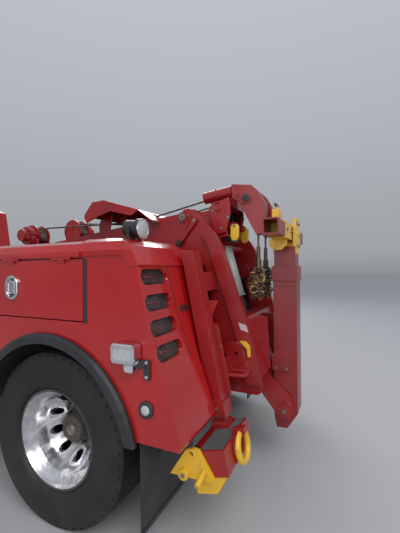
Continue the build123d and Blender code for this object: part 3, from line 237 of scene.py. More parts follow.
def bareMetal(name, look):
    tree, shader = newMaterial(name)
    point = objectPoint(tree)
    dust = dustMask(tree, look)
    wear = useGroup(tree, wearGroup, Cover=look["wear"], Scale=22.0)["Mask"]
    cloud = noise(tree, point, look.get("cloudScale", 18.0), 6.0)
    grain = noise(tree, mapped(tree, point, Scale=(40.0, 40.0, 400.0)), 4.0, 2.0)
    colour = mixColour(tree, spread(tree, cloud, *middling), look["colour"], look["deep"])
    colour = mixColour(tree, wear, colour, look.get("chip", rustColour))
    colour = mixColour(tree, dust, colour, dustColour)
    metal = maths(tree, "SUBTRACT", 1.0, maths(tree, "MAXIMUM", dust, wear), clamp=True)
    rough = spread(tree, grain, *middling, look["roughness"] * 0.7, look["roughness"] * 1.4)
    rough = maths(tree, "ADD", rough, maths(tree, "MULTIPLY", dust, 0.5), clamp=True)
    feed(tree, shader, Base_Color=colour, Metallic=metal, Roughness=rough)
    bumpInto(tree, shader, grain, look.get("bump", 0.04), 0.0005)
    return tree, shader


def mouldedRubber(name, look):
    tree, shader = newMaterial(name)
    point = objectPoint(tree)
    cloud = noise(tree, point, look["cloudScale"], 9.0)
    colour = mixColour(tree, spread(tree, cloud, 0.35, 0.7), look["colour"], look["deep"])
    colour = mixColour(tree, dustMask(tree, look), colour, dustColour)
    rough = spread(tree, cloud, *middling, look["roughness"] - 0.1, look["roughness"] + 0.12)
    feed(tree, shader, Base_Color=colour, Roughness=rough)
    bumpInto(tree, shader, noise(tree, point, 380.0, 2.0), 0.15, 0.0008)


def clearLens(name, look):
    tree, shader = newMaterial(name)
    point = objectPoint(tree)
    smear = noise(tree, point, 7.0, 5.0)
    rough = spread(tree, smear, 0.35, 0.75, look["roughness"], look["roughness"] + 0.08)
    feed(tree, shader, Base_Color=mixColour(tree, smear, look["colour"], look["deep"]), Roughness=rough,
         Transmission_Weight=look["through"], IOR=1.45, Coat_Weight=0.6)
    if look["rib"]:
        ribs = addNode(tree, "ShaderNodeTexWave", Vector=point, Scale=look["rib"])
        ribs.bands_direction = "Y"
        bumpInto(tree, shader, ribs.outputs["Fac"], 0.35, 0.002)


def chequeredPlate(name, look):
    # Raised lozenges on the deck, crossing at right angles.
    tree, shader = bareMetal(name, look)
    point = objectPoint(tree)
    heights = []
    for turn in (45, -45):
        turned = mapped(tree, point, Rotation=(0, 0, math.radians(turn)), Scale=(26.0, 9.0, 1.0))
        cell = addNode(tree, "ShaderNodeTexVoronoi", Vector=turned, Scale=1.0, Randomness=0.0)
        heights.append(spread(tree, cell.outputs["Distance"], 0.22, 0.32, 1.0, 0.0))
    bumpInto(tree, shader, maths(tree, "MAXIMUM", *heights), 0.6, 0.003)


def ropeStrands(name, look):
    tree, shader = bareMetal(name, look)
    waves = addNode(tree, "ShaderNodeTexWave", Vector=objectPoint(tree), Scale=38.0)
    waves.bands_direction = "DIAGONAL"
    bumpInto(tree, shader, waves.outputs["Fac"], 0.9, 0.003)


paintColumns = ("colour", "deep", "roughness", "coat", "dust", "dustHeight", "wear", "own")
paints = {
    "redPaint": ((0.42, 0.004, 0.005), (0.34, 0.003, 0.004), 0.30, 0.65, 0.07, 1.3, 0.02,
                 {"bump": 0.03, "coatRoughness": 0.04}),
    "towerRed": ((0.33, 0.004, 0.006), (0.23, 0.003, 0.005), 0.38, 0.4, 0.10, 1.6, 0.22,
                 {"coatRoughness": 0.10}),
    "maroonPaint": ((0.24, 0.006, 0.010), (0.17, 0.004, 0.007), 0.44, 0.3, 0.12, 1.8, 0.18,
                    {"coatRoughness": 0.16}),
    "yellowPaint": ((0.80, 0.47, 0.012), (0.66, 0.36, 0.010), 0.42, 0.4, 0.12, 1.4, 0.42,
                    {"chip": (0.10, 0.045, 0.02), "coatRoughness": 0.2}),
    "blackPaint": ((0.014, 0.014, 0.016), (0.022, 0.021, 0.020), 0.42, 0.3, 0.55, 1.3, 0.16,
                   {"chip": (0.09, 0.05, 0.03), "coatRoughness": 0.3}),
    "castDark": ((0.030, 0.029, 0.030), (0.055, 0.045, 0.038), 0.62, 0.0, 0.6, 1.6, 0.3,
                 {"chip": (0.12, 0.05, 0.025), "bump": 0.35, "ripple": 140.0}),
    "trimBlack": ((0.018, 0.018, 0.019), (0.028, 0.028, 0.029), 0.55, 0.1, 0.2, 1.5, 0.0,
                  {"bump": 0.25, "ripple": 420.0}),
    "palePaint": ((0.42, 0.46, 0.42), (0.33, 0.36, 0.33), 0.40, 0.3, 0.10, 2.2, 0.30,
                  {"chip": (0.16, 0.10, 0.07)}),
    "blankLabel": ((0.62, 0.50, 0.50), (0.50, 0.38, 0.38), 0.45, 0.2, 0.2, 2.2, 0.25,
                   {"chip": (0.30, 0.06, 0.06)}),
    "gripTape": ((0.050, 0.060, 0.062), (0.085, 0.095, 0.098), 0.85, 0.0, 0.5, 1.6, 0.08,
                 {"bump": 0.7, "ripple": 900.0}),
    "seatCloth": ((0.050, 0.048, 0.050), (0.075, 0.07, 0.068), 0.85, 0.0, 0.0, 1.5, 0.0,
                  {"bump": 0.5, "ripple": 650.0}),
}
metalColumns = ("colour", "deep", "roughness", "dust", "dustHeight", "wear", "own")
metals = {
    "brightRim": ((0.82, 0.82, 0.84), (0.62, 0.62, 0.64), 0.16, 0.45, 1.1, 0.05, {"cloudScale": 26.0}),
    "chromeTrim": ((0.80, 0.80, 0.82), (0.70, 0.70, 0.72), 0.07, 0.12, 1.5, 0.02, {"bump": 0.01}),
    "rodSteel": ((0.66, 0.66, 0.68), (0.55, 0.55, 0.56), 0.14, 0.1, 1.5, 0.03),
    "wornSteel": ((0.34, 0.32, 0.30), (0.20, 0.17, 0.15), 0.42, 0.25, 2.0, 0.35),
    "chainSteel": ((0.26, 0.21, 0.17), (0.16, 0.10, 0.07), 0.48, 0.2, 2.0, 0.5,
                   {"chip": (0.16, 0.065, 0.025)}),
    "brassHook": ((0.50, 0.34, 0.14), (0.33, 0.20, 0.09), 0.36, 0.15, 2.0, 0.35),
}
rubberColumns = ("colour", "deep", "roughness", "dust", "dustHeight", "cloudScale")
rubbers = {
    "tyreRubber": ((0.006, 0.006, 0.007), (0.013, 0.013, 0.013), 0.66, 0.16, 1.1, 7.0),
    "flapRubber": ((0.012, 0.013, 0.015), (0.024, 0.027, 0.031), 0.40, 0.20, 1.2, 9.0),
}
lensColumns = ("colour", "deep", "roughness", "through", "rib")
lenses = {
    "windowGlass": ((0.62, 0.70, 0.70), (0.55, 0.63, 0.64), 0.01, 0.92, 0),
    "tailRed": ((0.20, 0.004, 0.006), (0.10, 0.002, 0.004), 0.06, 0.15, 60.0),
    "lampDark": ((0.020, 0.013, 0.014), (0.035, 0.018, 0.018), 0.08, 0.0, 45.0),
    "lampClear": ((0.80, 0.82, 0.84), (0.68, 0.70, 0.72), 0.05, 0.45, 55.0),
    "amberLens": ((0.85, 0.27, 0.010), (0.70, 0.20, 0.006), 0.08, 0.4, 40.0),
}
plates = {"deckPlate": ((0.52, 0.52, 0.53), (0.38, 0.38, 0.39), 0.35, 0.35, 2.2, 0.2)}
ropes = {"wireRope": ((0.22, 0.20, 0.18), (0.12, 0.10, 0.09), 0.4, 0.2, 3.0, 0.3)}
for maker, columns, table in ((sprayedPaint, paintColumns, paints), (bareMetal, metalColumns, metals),
                              (mouldedRubber, rubberColumns, rubbers), (clearLens, lensColumns, lenses),
                              (chequeredPlate, metalColumns, plates), (ropeStrands, metalColumns, ropes)):
    for name, row in table.items():
        look = dict(zip(columns, row))
        maker(name, {**look, **look.get("own", {})})
print("stage: materials made")


# Meshes: a finished bmesh becomes a piece that rides on a body.
def makePiece(bm, name, body, materials, slot, sharp=35, replaces=()):
    mesh = bpy.data.meshes.new(name)
    bm.normal_update()
    bm.to_mesh(mesh)
    bm.free()
    for material in materials:
        mesh.materials.append(mat[material])
    mesh.shade_smooth()
    mesh.set_sharp_from_angle(angle=math.radians(sharp))
    obj = newObject(name, mesh)
    flat = obj.modifiers.new("flatFaces", "WEIGHTED_NORMAL")
    flat.keep_sharp = True
    flat.weight = 100
    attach(obj, body)
    if replaces:
        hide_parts(*replaces)


def bodyOf(node):
    return next(body for body, nodes in frame["record"]["behaviour"]["bodies"].items() if node in nodes)


def slotOf(node):
    return next(part["material_slot"] for part in frame["record"]["subparts"] if part["node"] == node)


def cleanNode(node):
    bm = bmesh.new()
    bm.from_mesh(frame["nodes"][node].data)
    bmesh.ops.remove_doubles(bm, verts=bm.verts, dist=1e-5)
    bmesh.ops.dissolve_limit(bm, angle_limit=math.radians(0.8), verts=bm.verts, edges=bm.edges)
    return bm


# A CAD node's surface with its long edges eased, so that they catch the light.
edgeSpec = {"shortest": 0.035, "turn": 32}


def dressNode(node, ease, materials, pick=None):
    bm = cleanNode(node)
    if ease:
        edges = [e for e in bm.edges if len(e.link_faces) == 2 and e.calc_length() > edgeSpec["shortest"]
                 and e.calc_face_angle(0) > math.radians(edgeSpec["turn"])]
        bmesh.ops.bevel(bm, geom=edges, offset=ease, offset_type="OFFSET", segments=2, profile=0.5,
                        affect="EDGES", material=-1, clamp_overlap=False)
    for face in bm.faces:
        face.material_index = pick(face.calc_center_median()) if pick else 0
    makePiece(bm, node + "_finish", bodyOf(node), materials, slotOf(node), replaces=[node])


# The four lamp pockets on each rear corner, cut square to the sloping rear face.
# A face line is a station and a height on it, and how far back it goes for each metre down.
pocketSpec = {"heights": (1.497, 1.362, 1.233, 1.108), "side": 1.096, "half": 0.058, "radius": 0.039,
              "shallow": 0.004, "deep": 0.03, "bend": 1.28, "above": (-0.65, 1.56, 0.19),
              "below": (-0.703, 1.285, 0.292)}
pocketWay = Vector((0.97, 0, -0.2425)).normalized()


def pocketMiddle(z):
    place, top, slope = pocketSpec["above" if z > pocketSpec["bend"] else "below"]
    return at(place - (top - z) * slope, pocketSpec["side"], z)


# Finds the faces of the pocket walls, which are made black as painted shade.
def inPocket(point):
    for z in pocketSpec["heights"]:
        gap = Vector((point.x, abs(point.y), point.z)) - pocketMiddle(z)
        deep = gap.dot(pocketWay)
        flat = gap - pocketWay * deep
        reach = math.hypot(max(abs(flat.y) - pocketSpec["half"], 0), flat.x, flat.z)
        if pocketSpec["shallow"] < deep < pocketSpec["deep"] and reach < pocketSpec["radius"]:
            return True
    return False


# Regions that give a face its material, tried in turn: the material's number in the piece's list,
# then the limits of station, distance from the middle line, and height.
def region(number, x=(-9, 9), y=(-1, 9), z=(-9, 9)):
    return number, (x, y, z)


regions = {
    "deck": [region(1, (-9, 3.36), (-1, 0.6), (1.185, 1.195)), region(2, (-9, 3.36), (-1, 0.6), (-9, 1.195))],
    "foot": [region(1, y=(1.0604, 9)), region(1, (-9, -0.87), z=(-9, 0.445)),  # spade plate and its teeth
             region(0, y=(0.8355, 0.8845), z=(0.617, 9)), region(1, (-9, -1.054), (0.74, 0.98), (-9, 0.655))],
    "fork": [region(1, z=(1.635, 9))],
    "head": [region(2, z=(-9, 1.705)), region(1, (-0.991, -0.967), z=(-9, 2.08)),  # chain, hanging rope
             region(1, (-0.99, 9), (0.1095, 0.1265), (2.14, 9)), region(3, y=(0.0955, 0.1405))],
    "mirror": [region(1, y=(1.06, 9), z=(1.7, 9)), region(2, y=(1.031, 9), z=(1.53, 9))],
    "lamps": [region(3, (-9, -0.5185), z=(1.69, 9)), region(1, z=(1.69, 9)),  # work lamp's face and shell
              region(0, y=(-1, 1.22)), region(3, z=(-9, 0.9)),  # pocket lenses, marker
              region(1, (-9, -0.681)), region(1, y=(-1, 1.2545), z=(-9, 1.09)),  # strobe bracket
              region(3, y=(1.292, 9)), region(2)],
    "bar": [region(1, z=(-9, 2.592)), region(2, y=(-1, 0.16))],
}


def pickFrom(name):
    def pick(point):
        values = (station(point), abs(point.y), point.z)
        for number, limits in regions[name]:
            if all(low < value < high for value, (low, high) in zip(values, limits)):
                return number
        return 0
    return pick


# The deck between the side bodies is chequered plate; what lies under it and in the arches is black. The
# walls of the lamp pockets are black too: painted shade in the recesses.
archSpec = {"radius": 0.70, "inside": 1.22}


def tubBodyPick(point):
    inArch = math.hypot(station(point), point.z - tyreRadius) < archSpec["radius"]
    if inPocket(point) or (inArch and abs(point.y) < archSpec["inside"]):
        return 2
    return pickFrom("deck")(point)


# The underlift jack's barrel is painted pale; it leans forward as it rises.
jackSpec = {"station": -0.668, "z": 1.716, "lean": 0.2792, "radius": 0.056, "low": 1.29, "high": 1.74}


def towerPick(point):
    offset = station(point) - jackSpec["station"] + (jackSpec["z"] - point.z) * jackSpec["lean"]
    near = math.hypot(offset, point.y) < jackSpec["radius"]
    return 1 if near and jackSpec["low"] < point.z < jackSpec["high"] else 0


# The hub inside each rim is dark.
hubPlace = {"radius": 0.112, "side": 0.9}


def rimPick(point):
    radius = math.hypot(point.x - (axleX if point.x < 0 else frontX), point.z - tyreRadius)
    return 1 if radius < hubPlace["radius"] and abs(point.y) > hubPlace["side"] else 0


# Each row: a node, how far its edges are eased, its materials, and the function that picks among them.
finishes = [
    ("tool_body", 0.0025, ["redPaint", "deckPlate", "blackPaint"], tubBodyPick),
    ("cab_shell", 0.006, ["redPaint"]),
    ("bonnet", 0.006, ["redPaint"]),
    ("tower", 0.002, ["towerRed", "palePaint"], towerPick),
    ("boom", 0.003, ["towerRed"]),
    ("winches", 0.002, ["towerRed"]),
    ("lift_barrels", 0.002, ["blackPaint"]),
    ("lift_rods", 0.0, ["rodSteel"]),
    ("underlift_carriage", 0.002, ["towerRed"]),
    ("underlift_arm", 0.003, ["maroonPaint"]),
    ("underlift_stage", 0.002, ["maroonPaint", "yellowPaint"], pickFrom("fork")),
    ("crossbar", 0.002, ["maroonPaint"]),
    ("frame_rails", 0.002, ["blackPaint"]),
    ("front_bumper", 0.006, ["chromeTrim"]),
    ("side_tanks", 0.003, ["brightRim"]),
    ("flares_and_flaps", 0.003, ["flapRubber"]),
    ("engine_block", 0.006, ["castDark"]),
    ("light_bar", 0.006, ["amberLens", "trimBlack", "lampClear"], pickFrom("bar")),
    ("rear_lamps", 0.0015, ["lampDark", "blackPaint", "chromeTrim", "lampClear"], pickFrom("lamps")),
    ("grille", 0.003, ["chromeTrim"]),
    ("cab_interior", 0.006, ["seatCloth"]),
]
for side in signs:
    finishes += [
        ("cab_door_" + side, 0.003, ["redPaint", "trimBlack", "chromeTrim"], pickFrom("mirror")),
        ("stabiliser_foot_" + side, 0.002, ["towerRed", "yellowPaint"], pickFrom("foot")),
        ("rope_head_" + side, 0.002, ["towerRed", "wireRope", "chainSteel", "wornSteel"], pickFrom("head"))]
    finishes += [(store + "_tool_door_" + side, 0.003, ["redPaint"]) for store in ("upper", "tall", "front")]
for node in ("rim_front_left", "rim_front_right", "rims_rear_left", "rims_rear_right"):
    finishes.append((node, 0.0, ["brightRim", "castDark"], rimPick))
for row in finishes:
    dressNode(*row)

plainFinish = {
    "cab_glass": "windowGlass", "door_glass_left": "windowGlass", "door_glass_right": "windowGlass",
    "headlamps": "lampClear", "knuckle_left": "castDark", "knuckle_right": "castDark",
    "front_axle": "castDark", "rear_axle": "castDark", "winch_ropes": "wireRope",
}
for node, material in plainFinish.items():
    data = frame["nodes"][node].data
    data.materials.clear()
    data.materials.append(mat[material])
print("stage: CAD nodes finished")


# Small solids: each adds itself to a bmesh and marks its faces with a material number.
# A place is a vector in the scene, or a station, a distance across and a height.
def spot(place):
    return place if isinstance(place, Vector) else at(*place)


def mark(bm, before, number, ease=0.0):
    made = [face for face in bm.faces if face not in before]
    bmesh.ops.recalc_face_normals(bm, faces=made)
    for face in made:
        face.material_index = number
    if ease:
        edges = list({e for face in made for e in face.edges if e.calc_face_angle(0) > 0.5})
        bmesh.ops.bevel(bm, geom=edges, offset=ease, segments=2, profile=0.5, affect="EDGES", material=-1,
                        clamp_overlap=True)


def extrudeFaces(bm, faces):
    grown = bmesh.ops.extrude_face_region(bm, geom=faces)
    return [v for v in grown["geom"] if isinstance(v, bmesh.types.BMVert)]


def box(bm, low, high, number=0, ease=0.0):
    before = set(bm.faces)
    low, high = spot(low), spot(high)
    size = high - low
    place = Matrix.Translation((low + high) / 2) @ Matrix.Diagonal((*map(abs, size), 1.0))
    bmesh.ops.create_cube(bm, size=1.0, matrix=place)
    mark(bm, before, number, ease)


def rod(bm, start, end, radius, number=0, sides=24, ease=0.0):
    before = set(bm.faces)
    start, end = spot(start), spot(end)
    turn = (end - start).to_track_quat("Z", "Y").to_matrix().to_4x4()
    bmesh.ops.create_cone(bm, cap_ends=True, segments=sides, radius1=radius, radius2=radius,
                          depth=(end - start).length, matrix=Matrix.Translation((start + end) / 2) @ turn)
    mark(bm, before, number, ease)


def plate(bm, outline, low, high, number=0, ease=0.0):
    # An outline of stations and heights, as thick as low to high across the truck.
    before = set(bm.faces)
    sheet = bm.faces.new([bm.verts.new(at(place, low, z)) for place, z in outline])
    bmesh.ops.translate(bm, verts=extrudeFaces(bm, [sheet]), vec=(0.0, high - low, 0.0))
    mark(bm, before, number, ease)


def spin(bm, profile, centre, axis, number=0, steps=48, closed=False):
    # A profile of distances along the axis and radii, turned once round it.
    before = set(bm.faces)
    centre, axis = spot(centre), Vector(axis).normalized()
    side = axis.orthogonal().normalized()
    line = [bm.verts.new(centre + axis * along + side * radius) for along, radius in profile]
    pairs = list(zip(line, line[1:])) + ([(line[-1], line[0])] if closed else [])
    edges = [bm.edges.new(pair) for pair in pairs]
    bmesh.ops.spin(bm, geom=line + edges, cent=centre, axis=axis, angle=math.tau, steps=steps,
                   use_merge=True, use_duplicate=False)
    verts = list({v for face in bm.faces if face not in before for v in face.verts})
    bmesh.ops.remove_doubles(bm, verts=verts, dist=1e-6)
    mark(bm, before, number)


def ring(bm, centre, axis, radius, wire, number=0, steps=32, sides=10):
    turns = [math.tau * k / sides for k in range(sides)]
    profile = [(wire * math.sin(t), radius + wire * math.cos(t)) for t in turns]
    spin(bm, profile, centre, axis, number, steps, True)


def bolt(bm, place, axis, size, number=0):
    # Hexagon head on a washer, standing on the surface at place.
    place, axis = spot(place), Vector(axis).normalized()
    rod(bm, place, place + axis * size * 0.18, size * 1.15, number, 18)
    rod(bm, place + axis * size * 0.16, place + axis * size * 0.85, size * 0.86, number, 6, size * 0.06)


def dome(bm, place, axis, radius, height, number=0, steps=24):
    arc = [(height * math.sin(t), radius * math.cos(t)) for t in [math.pi / 2 * k / 6 for k in range(7)]]
    spin(bm, [(0.0, 0.0)] + arc, place, axis, number, steps)


def build(rows):
    bm = bmesh.new()
    for maker, *values in rows:
        maker(bm, *values)
    return bm


def sidePiece(bm, name, side, body, materials, slot):
    # The left piece as built; the right one is its mirror image.
    if side == "right":
        bmesh.ops.scale(bm, vec=(1.0, -1.0, 1.0), verts=bm.verts)
        bmesh.ops.reverse_faces(bm, faces=bm.faces)
    makePiece(bm, name + "_" + side, body, materials, slot)


# Fittings by name: the body that each rides on, its slot, its materials, and its rows of small solids.
def makeSide(side, pieces):
    for name, (body, slot, materials, rows) in pieces.items():
        sidePiece(build(rows), name, side, body.format(side=side), materials, slot)


def makeMiddle(pieces):
    for name, (body, slot, materials, rows) in pieces.items():
        makePiece(build(rows), name, body, materials, slot)


# Tyres: the crown has four grooves, the shoulders have cut sipes, and the walls have raised rings.
tyreSpec = {
    "steps": 144, "half": 0.140, "crown": 0.5196, "grooves": (0.086, 0.030), "grooveDepth": 0.014,
    "grooveTop": 0.0065, "grooveFoot": 0.0045, "sipeRing": 0.502, "sipeHalf": 0.003, "sipeIn": 0.118,
    "sipeOut": 0.126, "sipeEvery": 3, "sipeEdge": 0.0012, "sipeSlope": 0.0006, "sipeDepth": 0.0055,
    "wall": [(0.088, 0.2866), (0.0885, 0.2995), (0.11, 0.303), (0.123, 0.311), (0.1265, 0.318), (0.13, 0.319),
             (0.134, 0.331), (0.1372, 0.346), (0.1382, 0.3475), (0.1392, 0.364), (0.14, 0.385), (0.14, 0.405),
             (0.1392, 0.424), (0.1398, 0.4262), (0.1392, 0.431), (0.1376, 0.433), (0.1345, 0.452),
             (0.129, 0.476), (0.1238, 0.496), (0.1205, 0.508), (0.113, 0.5168)]}


def tyreProfile(spec):
    half, top, foot = list(spec["wall"]), spec["grooveTop"], spec["grooveFoot"]
    floor = spec["crown"] - spec["grooveDepth"]
    for middle in spec["grooves"]:
        half += [(middle + top, spec["crown"]), (middle + foot, floor), (middle - foot, floor),
                 (middle - top, spec["crown"])]
    return half + [(-y, radius) for y, radius in half[::-1]]


def makeTyre(centre, spec):
    bm = bmesh.new()
    spin(bm, tyreProfile(spec), centre, (0, 1, 0), 0, spec["steps"], True)
    sipes = []
    for face in bm.faces:
        middle = face.calc_center_median() - centre
        turn = math.atan2(middle.z, middle.x) / math.tau * spec["steps"] + 500  # never below nought
        onShoulder = (abs(math.hypot(middle.x, middle.z) - spec["sipeRing"]) < spec["sipeHalf"]
                      and spec["sipeIn"] < abs(middle.y) < spec["sipeOut"])
        if onShoulder and int(turn) % spec["sipeEvery"] == 0:
            sipes.append(face)
    bmesh.ops.inset_individual(bm, faces=sipes, thickness=spec["sipeEdge"], depth=0.0)
    bmesh.ops.inset_individual(bm, faces=sipes, thickness=spec["sipeSlope"], depth=-spec["sipeDepth"])
    return bm


for side, sign in signs.items():
    low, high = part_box("tyre_front_" + side)
    bm = makeTyre(Vector((frontX, (low.y + high.y) / 2, tyreRadius)), tyreSpec)
    makePiece(bm, "tread_front_" + side, "wheel_front_" + side, ["tyreRubber"], "tyre_rubber", 28,
              ["tyre_front_" + side])
    low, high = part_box("tyres_rear_" + side)
    middles = (high.y - tyreSpec["half"], low.y + tyreSpec["half"])
    for name, y in zip(("outer", "inner"), middles[::sign]):
        makePiece(makeTyre(at(0, y, tyreRadius), tyreSpec), "tread_rear_" + name + "_" + side,
                  "wheels_rear_" + side, ["tyreRubber"], "tyre_rubber", 28, ["tyres_rear_" + side])

# Wheel nuts with steel collars, a hub cap with its screws, and a valve stem.
nutSpec = {"count": 10, "ring": 0.1315, "size": 0.0165, "collar": 0.006, "head": 0.026, "stud": 0.041,
           "studRadius": 0.0105, "screws": 8, "screwRing": 0.055, "screwSize": 0.008, "capRadius": 0.034,
           "capHeight": 0.012}
hubSpec = {"rear": {"x": axleX, "face": 0.940, "hub": 1.066, "body": "wheels_rear_"},
           "front": {"x": frontX, "face": 1.102, "hub": 1.162, "body": "wheel_front_"}}


def makeNuts(bm, x, face, hub, spec):
    def onCircle(radius, turn, y):
        return Vector((x + radius * math.cos(turn), y, tyreRadius + radius * math.sin(turn)))

    for k in range(spec["count"]):
        places = [onCircle(spec["ring"], math.tau * (k + 0.5) / spec["count"], face + rise)
                  for rise in (0, spec["collar"], spec["head"], spec["stud"])]
        rod(bm, places[0], places[1], spec["size"] * 1.25, 1, 20, 0.0012)
        rod(bm, places[1], places[2], spec["size"], 0, 6, 0.0014)
        rod(bm, places[2], places[3], spec["studRadius"], 1, 12, 0.0012)
    for k in range(spec["screws"]):
        place = onCircle(spec["screwRing"], math.tau * k / spec["screws"], hub - 0.003)
        bolt(bm, place, (0, 1, 0), spec["screwSize"])
    dome(bm, onCircle(0, 0, hub - 0.002), (0, 1, 0), spec["capRadius"], spec["capHeight"], 1)


for side in signs:
    for end, spec in hubSpec.items():
        bm = bmesh.new()
        makeNuts(bm, spec["x"], spec["face"], spec["hub"], nutSpec)
        if end == "rear":  # the valve stem
            rod(bm, (0.205, 0.975, tyreRadius + 0.06), (0.242, 1.07, tyreRadius + 0.07), 0.0045, 1, 10)
        sidePiece(bm, end + "_nuts", side, spec["body"] + side, ["castDark", "wornSteel"], "cast_dark")
print("stage: wheels made")

# Store latches: a chrome stadium bezel round a recess with a paddle in it.
latchSpec = {"width": 0.118, "height": 0.152, "depth": 0.016, "rim": 0.016, "skin": 1.2345, "round": 0.006,
             "wall": 0.004, "recess": 0.012}
latchPlaces = (("upper", 0.302, 1.430), ("tall", 1.105, 1.170), ("front", 2.325, 1.170))


def makeLatch(bm, place, z, spec):
    half = spec["width"] / 2
    turned = Matrix.Translation(at(place, spec["skin"], z)) @ Matrix.Rotation(-math.pi / 2, 4, "X")
    made = bmesh.ops.create_circle(bm, cap_ends=True, segments=40, radius=half, matrix=turned)
    slide = spec["height"] / 2 - half
    for v in made["verts"]:
        v.co.z += slide if v.co.z > z + 1e-5 else (-slide if v.co.z < z - 1e-5 else 0.0)
    front = list({face for v in made["verts"] for face in v.link_faces})
    bmesh.ops.translate(bm, verts=extrudeFaces(bm, front), vec=(0.0, spec["depth"], 0.0))
    bmesh.ops.recalc_face_normals(bm, faces=bm.faces)

    def topFaces():
        level = spec["skin"] + spec["depth"] * 0.9
        return [face for face in bm.faces if face.normal.y > 0.99 and face.calc_center_median().y > level]

    edges = list({e for face in topFaces() for e in face.edges})
    bmesh.ops.bevel(bm, geom=edges, offset=spec["round"], segments=3, profile=0.5, affect="EDGES",
                    material=-1)
    top = topFaces()
    bmesh.ops.inset_region(bm, faces=top, thickness=spec["rim"] - spec["round"], depth=0.0)
    bmesh.ops.inset_region(bm, faces=top, thickness=spec["wall"], depth=-spec["recess"])
    y = spec["skin"] + spec["depth"] - spec["recess"]
    box(bm, (place - 0.022, y - 0.001, z - 0.036), (place + 0.022, y + 0.011, z + 0.04), 0, 0.005)
    box(bm, (place - 0.026, y - 0.001, z - 0.052), (place + 0.026, y + 0.004, z - 0.04), 1, 0.001)
    rod(bm, (place, y, z + 0.05), (place, y + 0.003, z + 0.05), 0.008, 1, 16)


for side in signs:
    for name, place, z in latchPlaces:
        bm = bmesh.new()
        makeLatch(bm, place, z, latchSpec)
        sidePiece(bm, name + "_latch", side, name + "_tool_door_" + side + "_leaf",
                  ["chromeTrim", "trimBlack"], "bright_trim")


# Thin covers: a part of a CAD surface, cut out by planes and raised a little.
def makeCover(name, node, materials, slot, cuts, keep, rise, edge=0):
    bm = cleanNode(node)
    for place, outward in cuts:
        bmesh.ops.bisect_plane(bm, geom=bm.verts[:] + bm.edges[:] + bm.faces[:], dist=1e-6,
                               plane_co=at(*place), plane_no=outward, clear_outer=True)
    lost = [face for face in bm.faces if not keep(face.calc_center_median(), face.normal)]
    bmesh.ops.delete(bm, geom=lost, context="FACES")
    raised = set(extrudeFaces(bm, bm.faces[:]))
    bm.normal_update()
    for v in raised:
        v.co += v.normal * rise
    # The step faces round a cover take material number edge; on the corner covers that is black, painted
    # shade of the gap under the cover's edge.
    for face in bm.faces:
        if 0 < sum(v in raised for v in face.verts) < len(face.verts):
            face.material_index = edge
    bmesh.ops.recalc_face_normals(bm, faces=bm.faces)
    makePiece(bm, name, "chassis", materials, slot, 30)


capSpec = {"front": -0.262, "bend": -0.553, "sideLip": 1.611, "rearLip": 1.553, "inner": 0.66, "rise": 0.008}
stripSpec = {"outer": 0.953, "lean": 0.094, "top": 1.545, "foot": 1.04, "inner": 0.82, "rise": 0.004}


def makeCorner(side, sign, cap, strip):
    def outerSkin(middle, normal):
        return sign * middle.y > 0.6 and (sign * normal.y > 0.25 or normal.x < -0.25 or normal.z > 0.25)

    def rearSkin(middle, normal):
        return normal.x < -0.5 and abs(middle.y) > 0.6 and station(middle) < -0.5

    bend, lip, down = cap["bend"], cap["rearLip"], (0, 0, -1)
    inner = ((0, sign * cap["inner"], 0), (0, -sign, 0))
    covers = {
        "corner_cap_front_": (outerSkin, cap["rise"], [
            ((cap["front"], 0, 0), (1, 0, 0)), ((bend, 0, 0), (-1, 0, 0)), ((0, 0, cap["sideLip"]), down),
            inner]),
        "corner_cap_back_": (outerSkin, cap["rise"], [
            ((bend, 0, 0), (1, 0, 0)), ((bend, 0, cap["sideLip"]), (1.1, 0, -1)), ((0, 0, lip), down),
            inner]),
        "corner_strip_": (rearSkin, strip["rise"], [
            ((0, sign * strip["outer"], lip), (0, sign, -strip["lean"])), ((0, 0, strip["top"]), (0, 0, 1)),
            ((0, 0, strip["foot"]), down), ((0, sign * strip["inner"], 0), (0, -sign, 0))])}
    # The covers' step faces are black: painted shade of the gap along each edge.
    for name, (keep, rise, cuts) in covers.items():
        makeCover(name + side, "tool_body", ["redPaint", "trimBlack"], "red_paint", cuts, keep, rise, 1)


for side, sign in signs.items():
    makeCorner(side, sign, capSpec, stripSpec)

# Fittings: rows of small solids. Each row is a maker, its places and sizes, and its material number.
left, back, upward = (0, 1, 0), (-1, 0, 0), (0, 0, 1)
ahead, lampWay, faceWay = (1, 0, 0), (-1, 0, -0.026), (-0.97, 0, 0.2425)
workLamp = (-0.5205, 1.0, 1.7724)

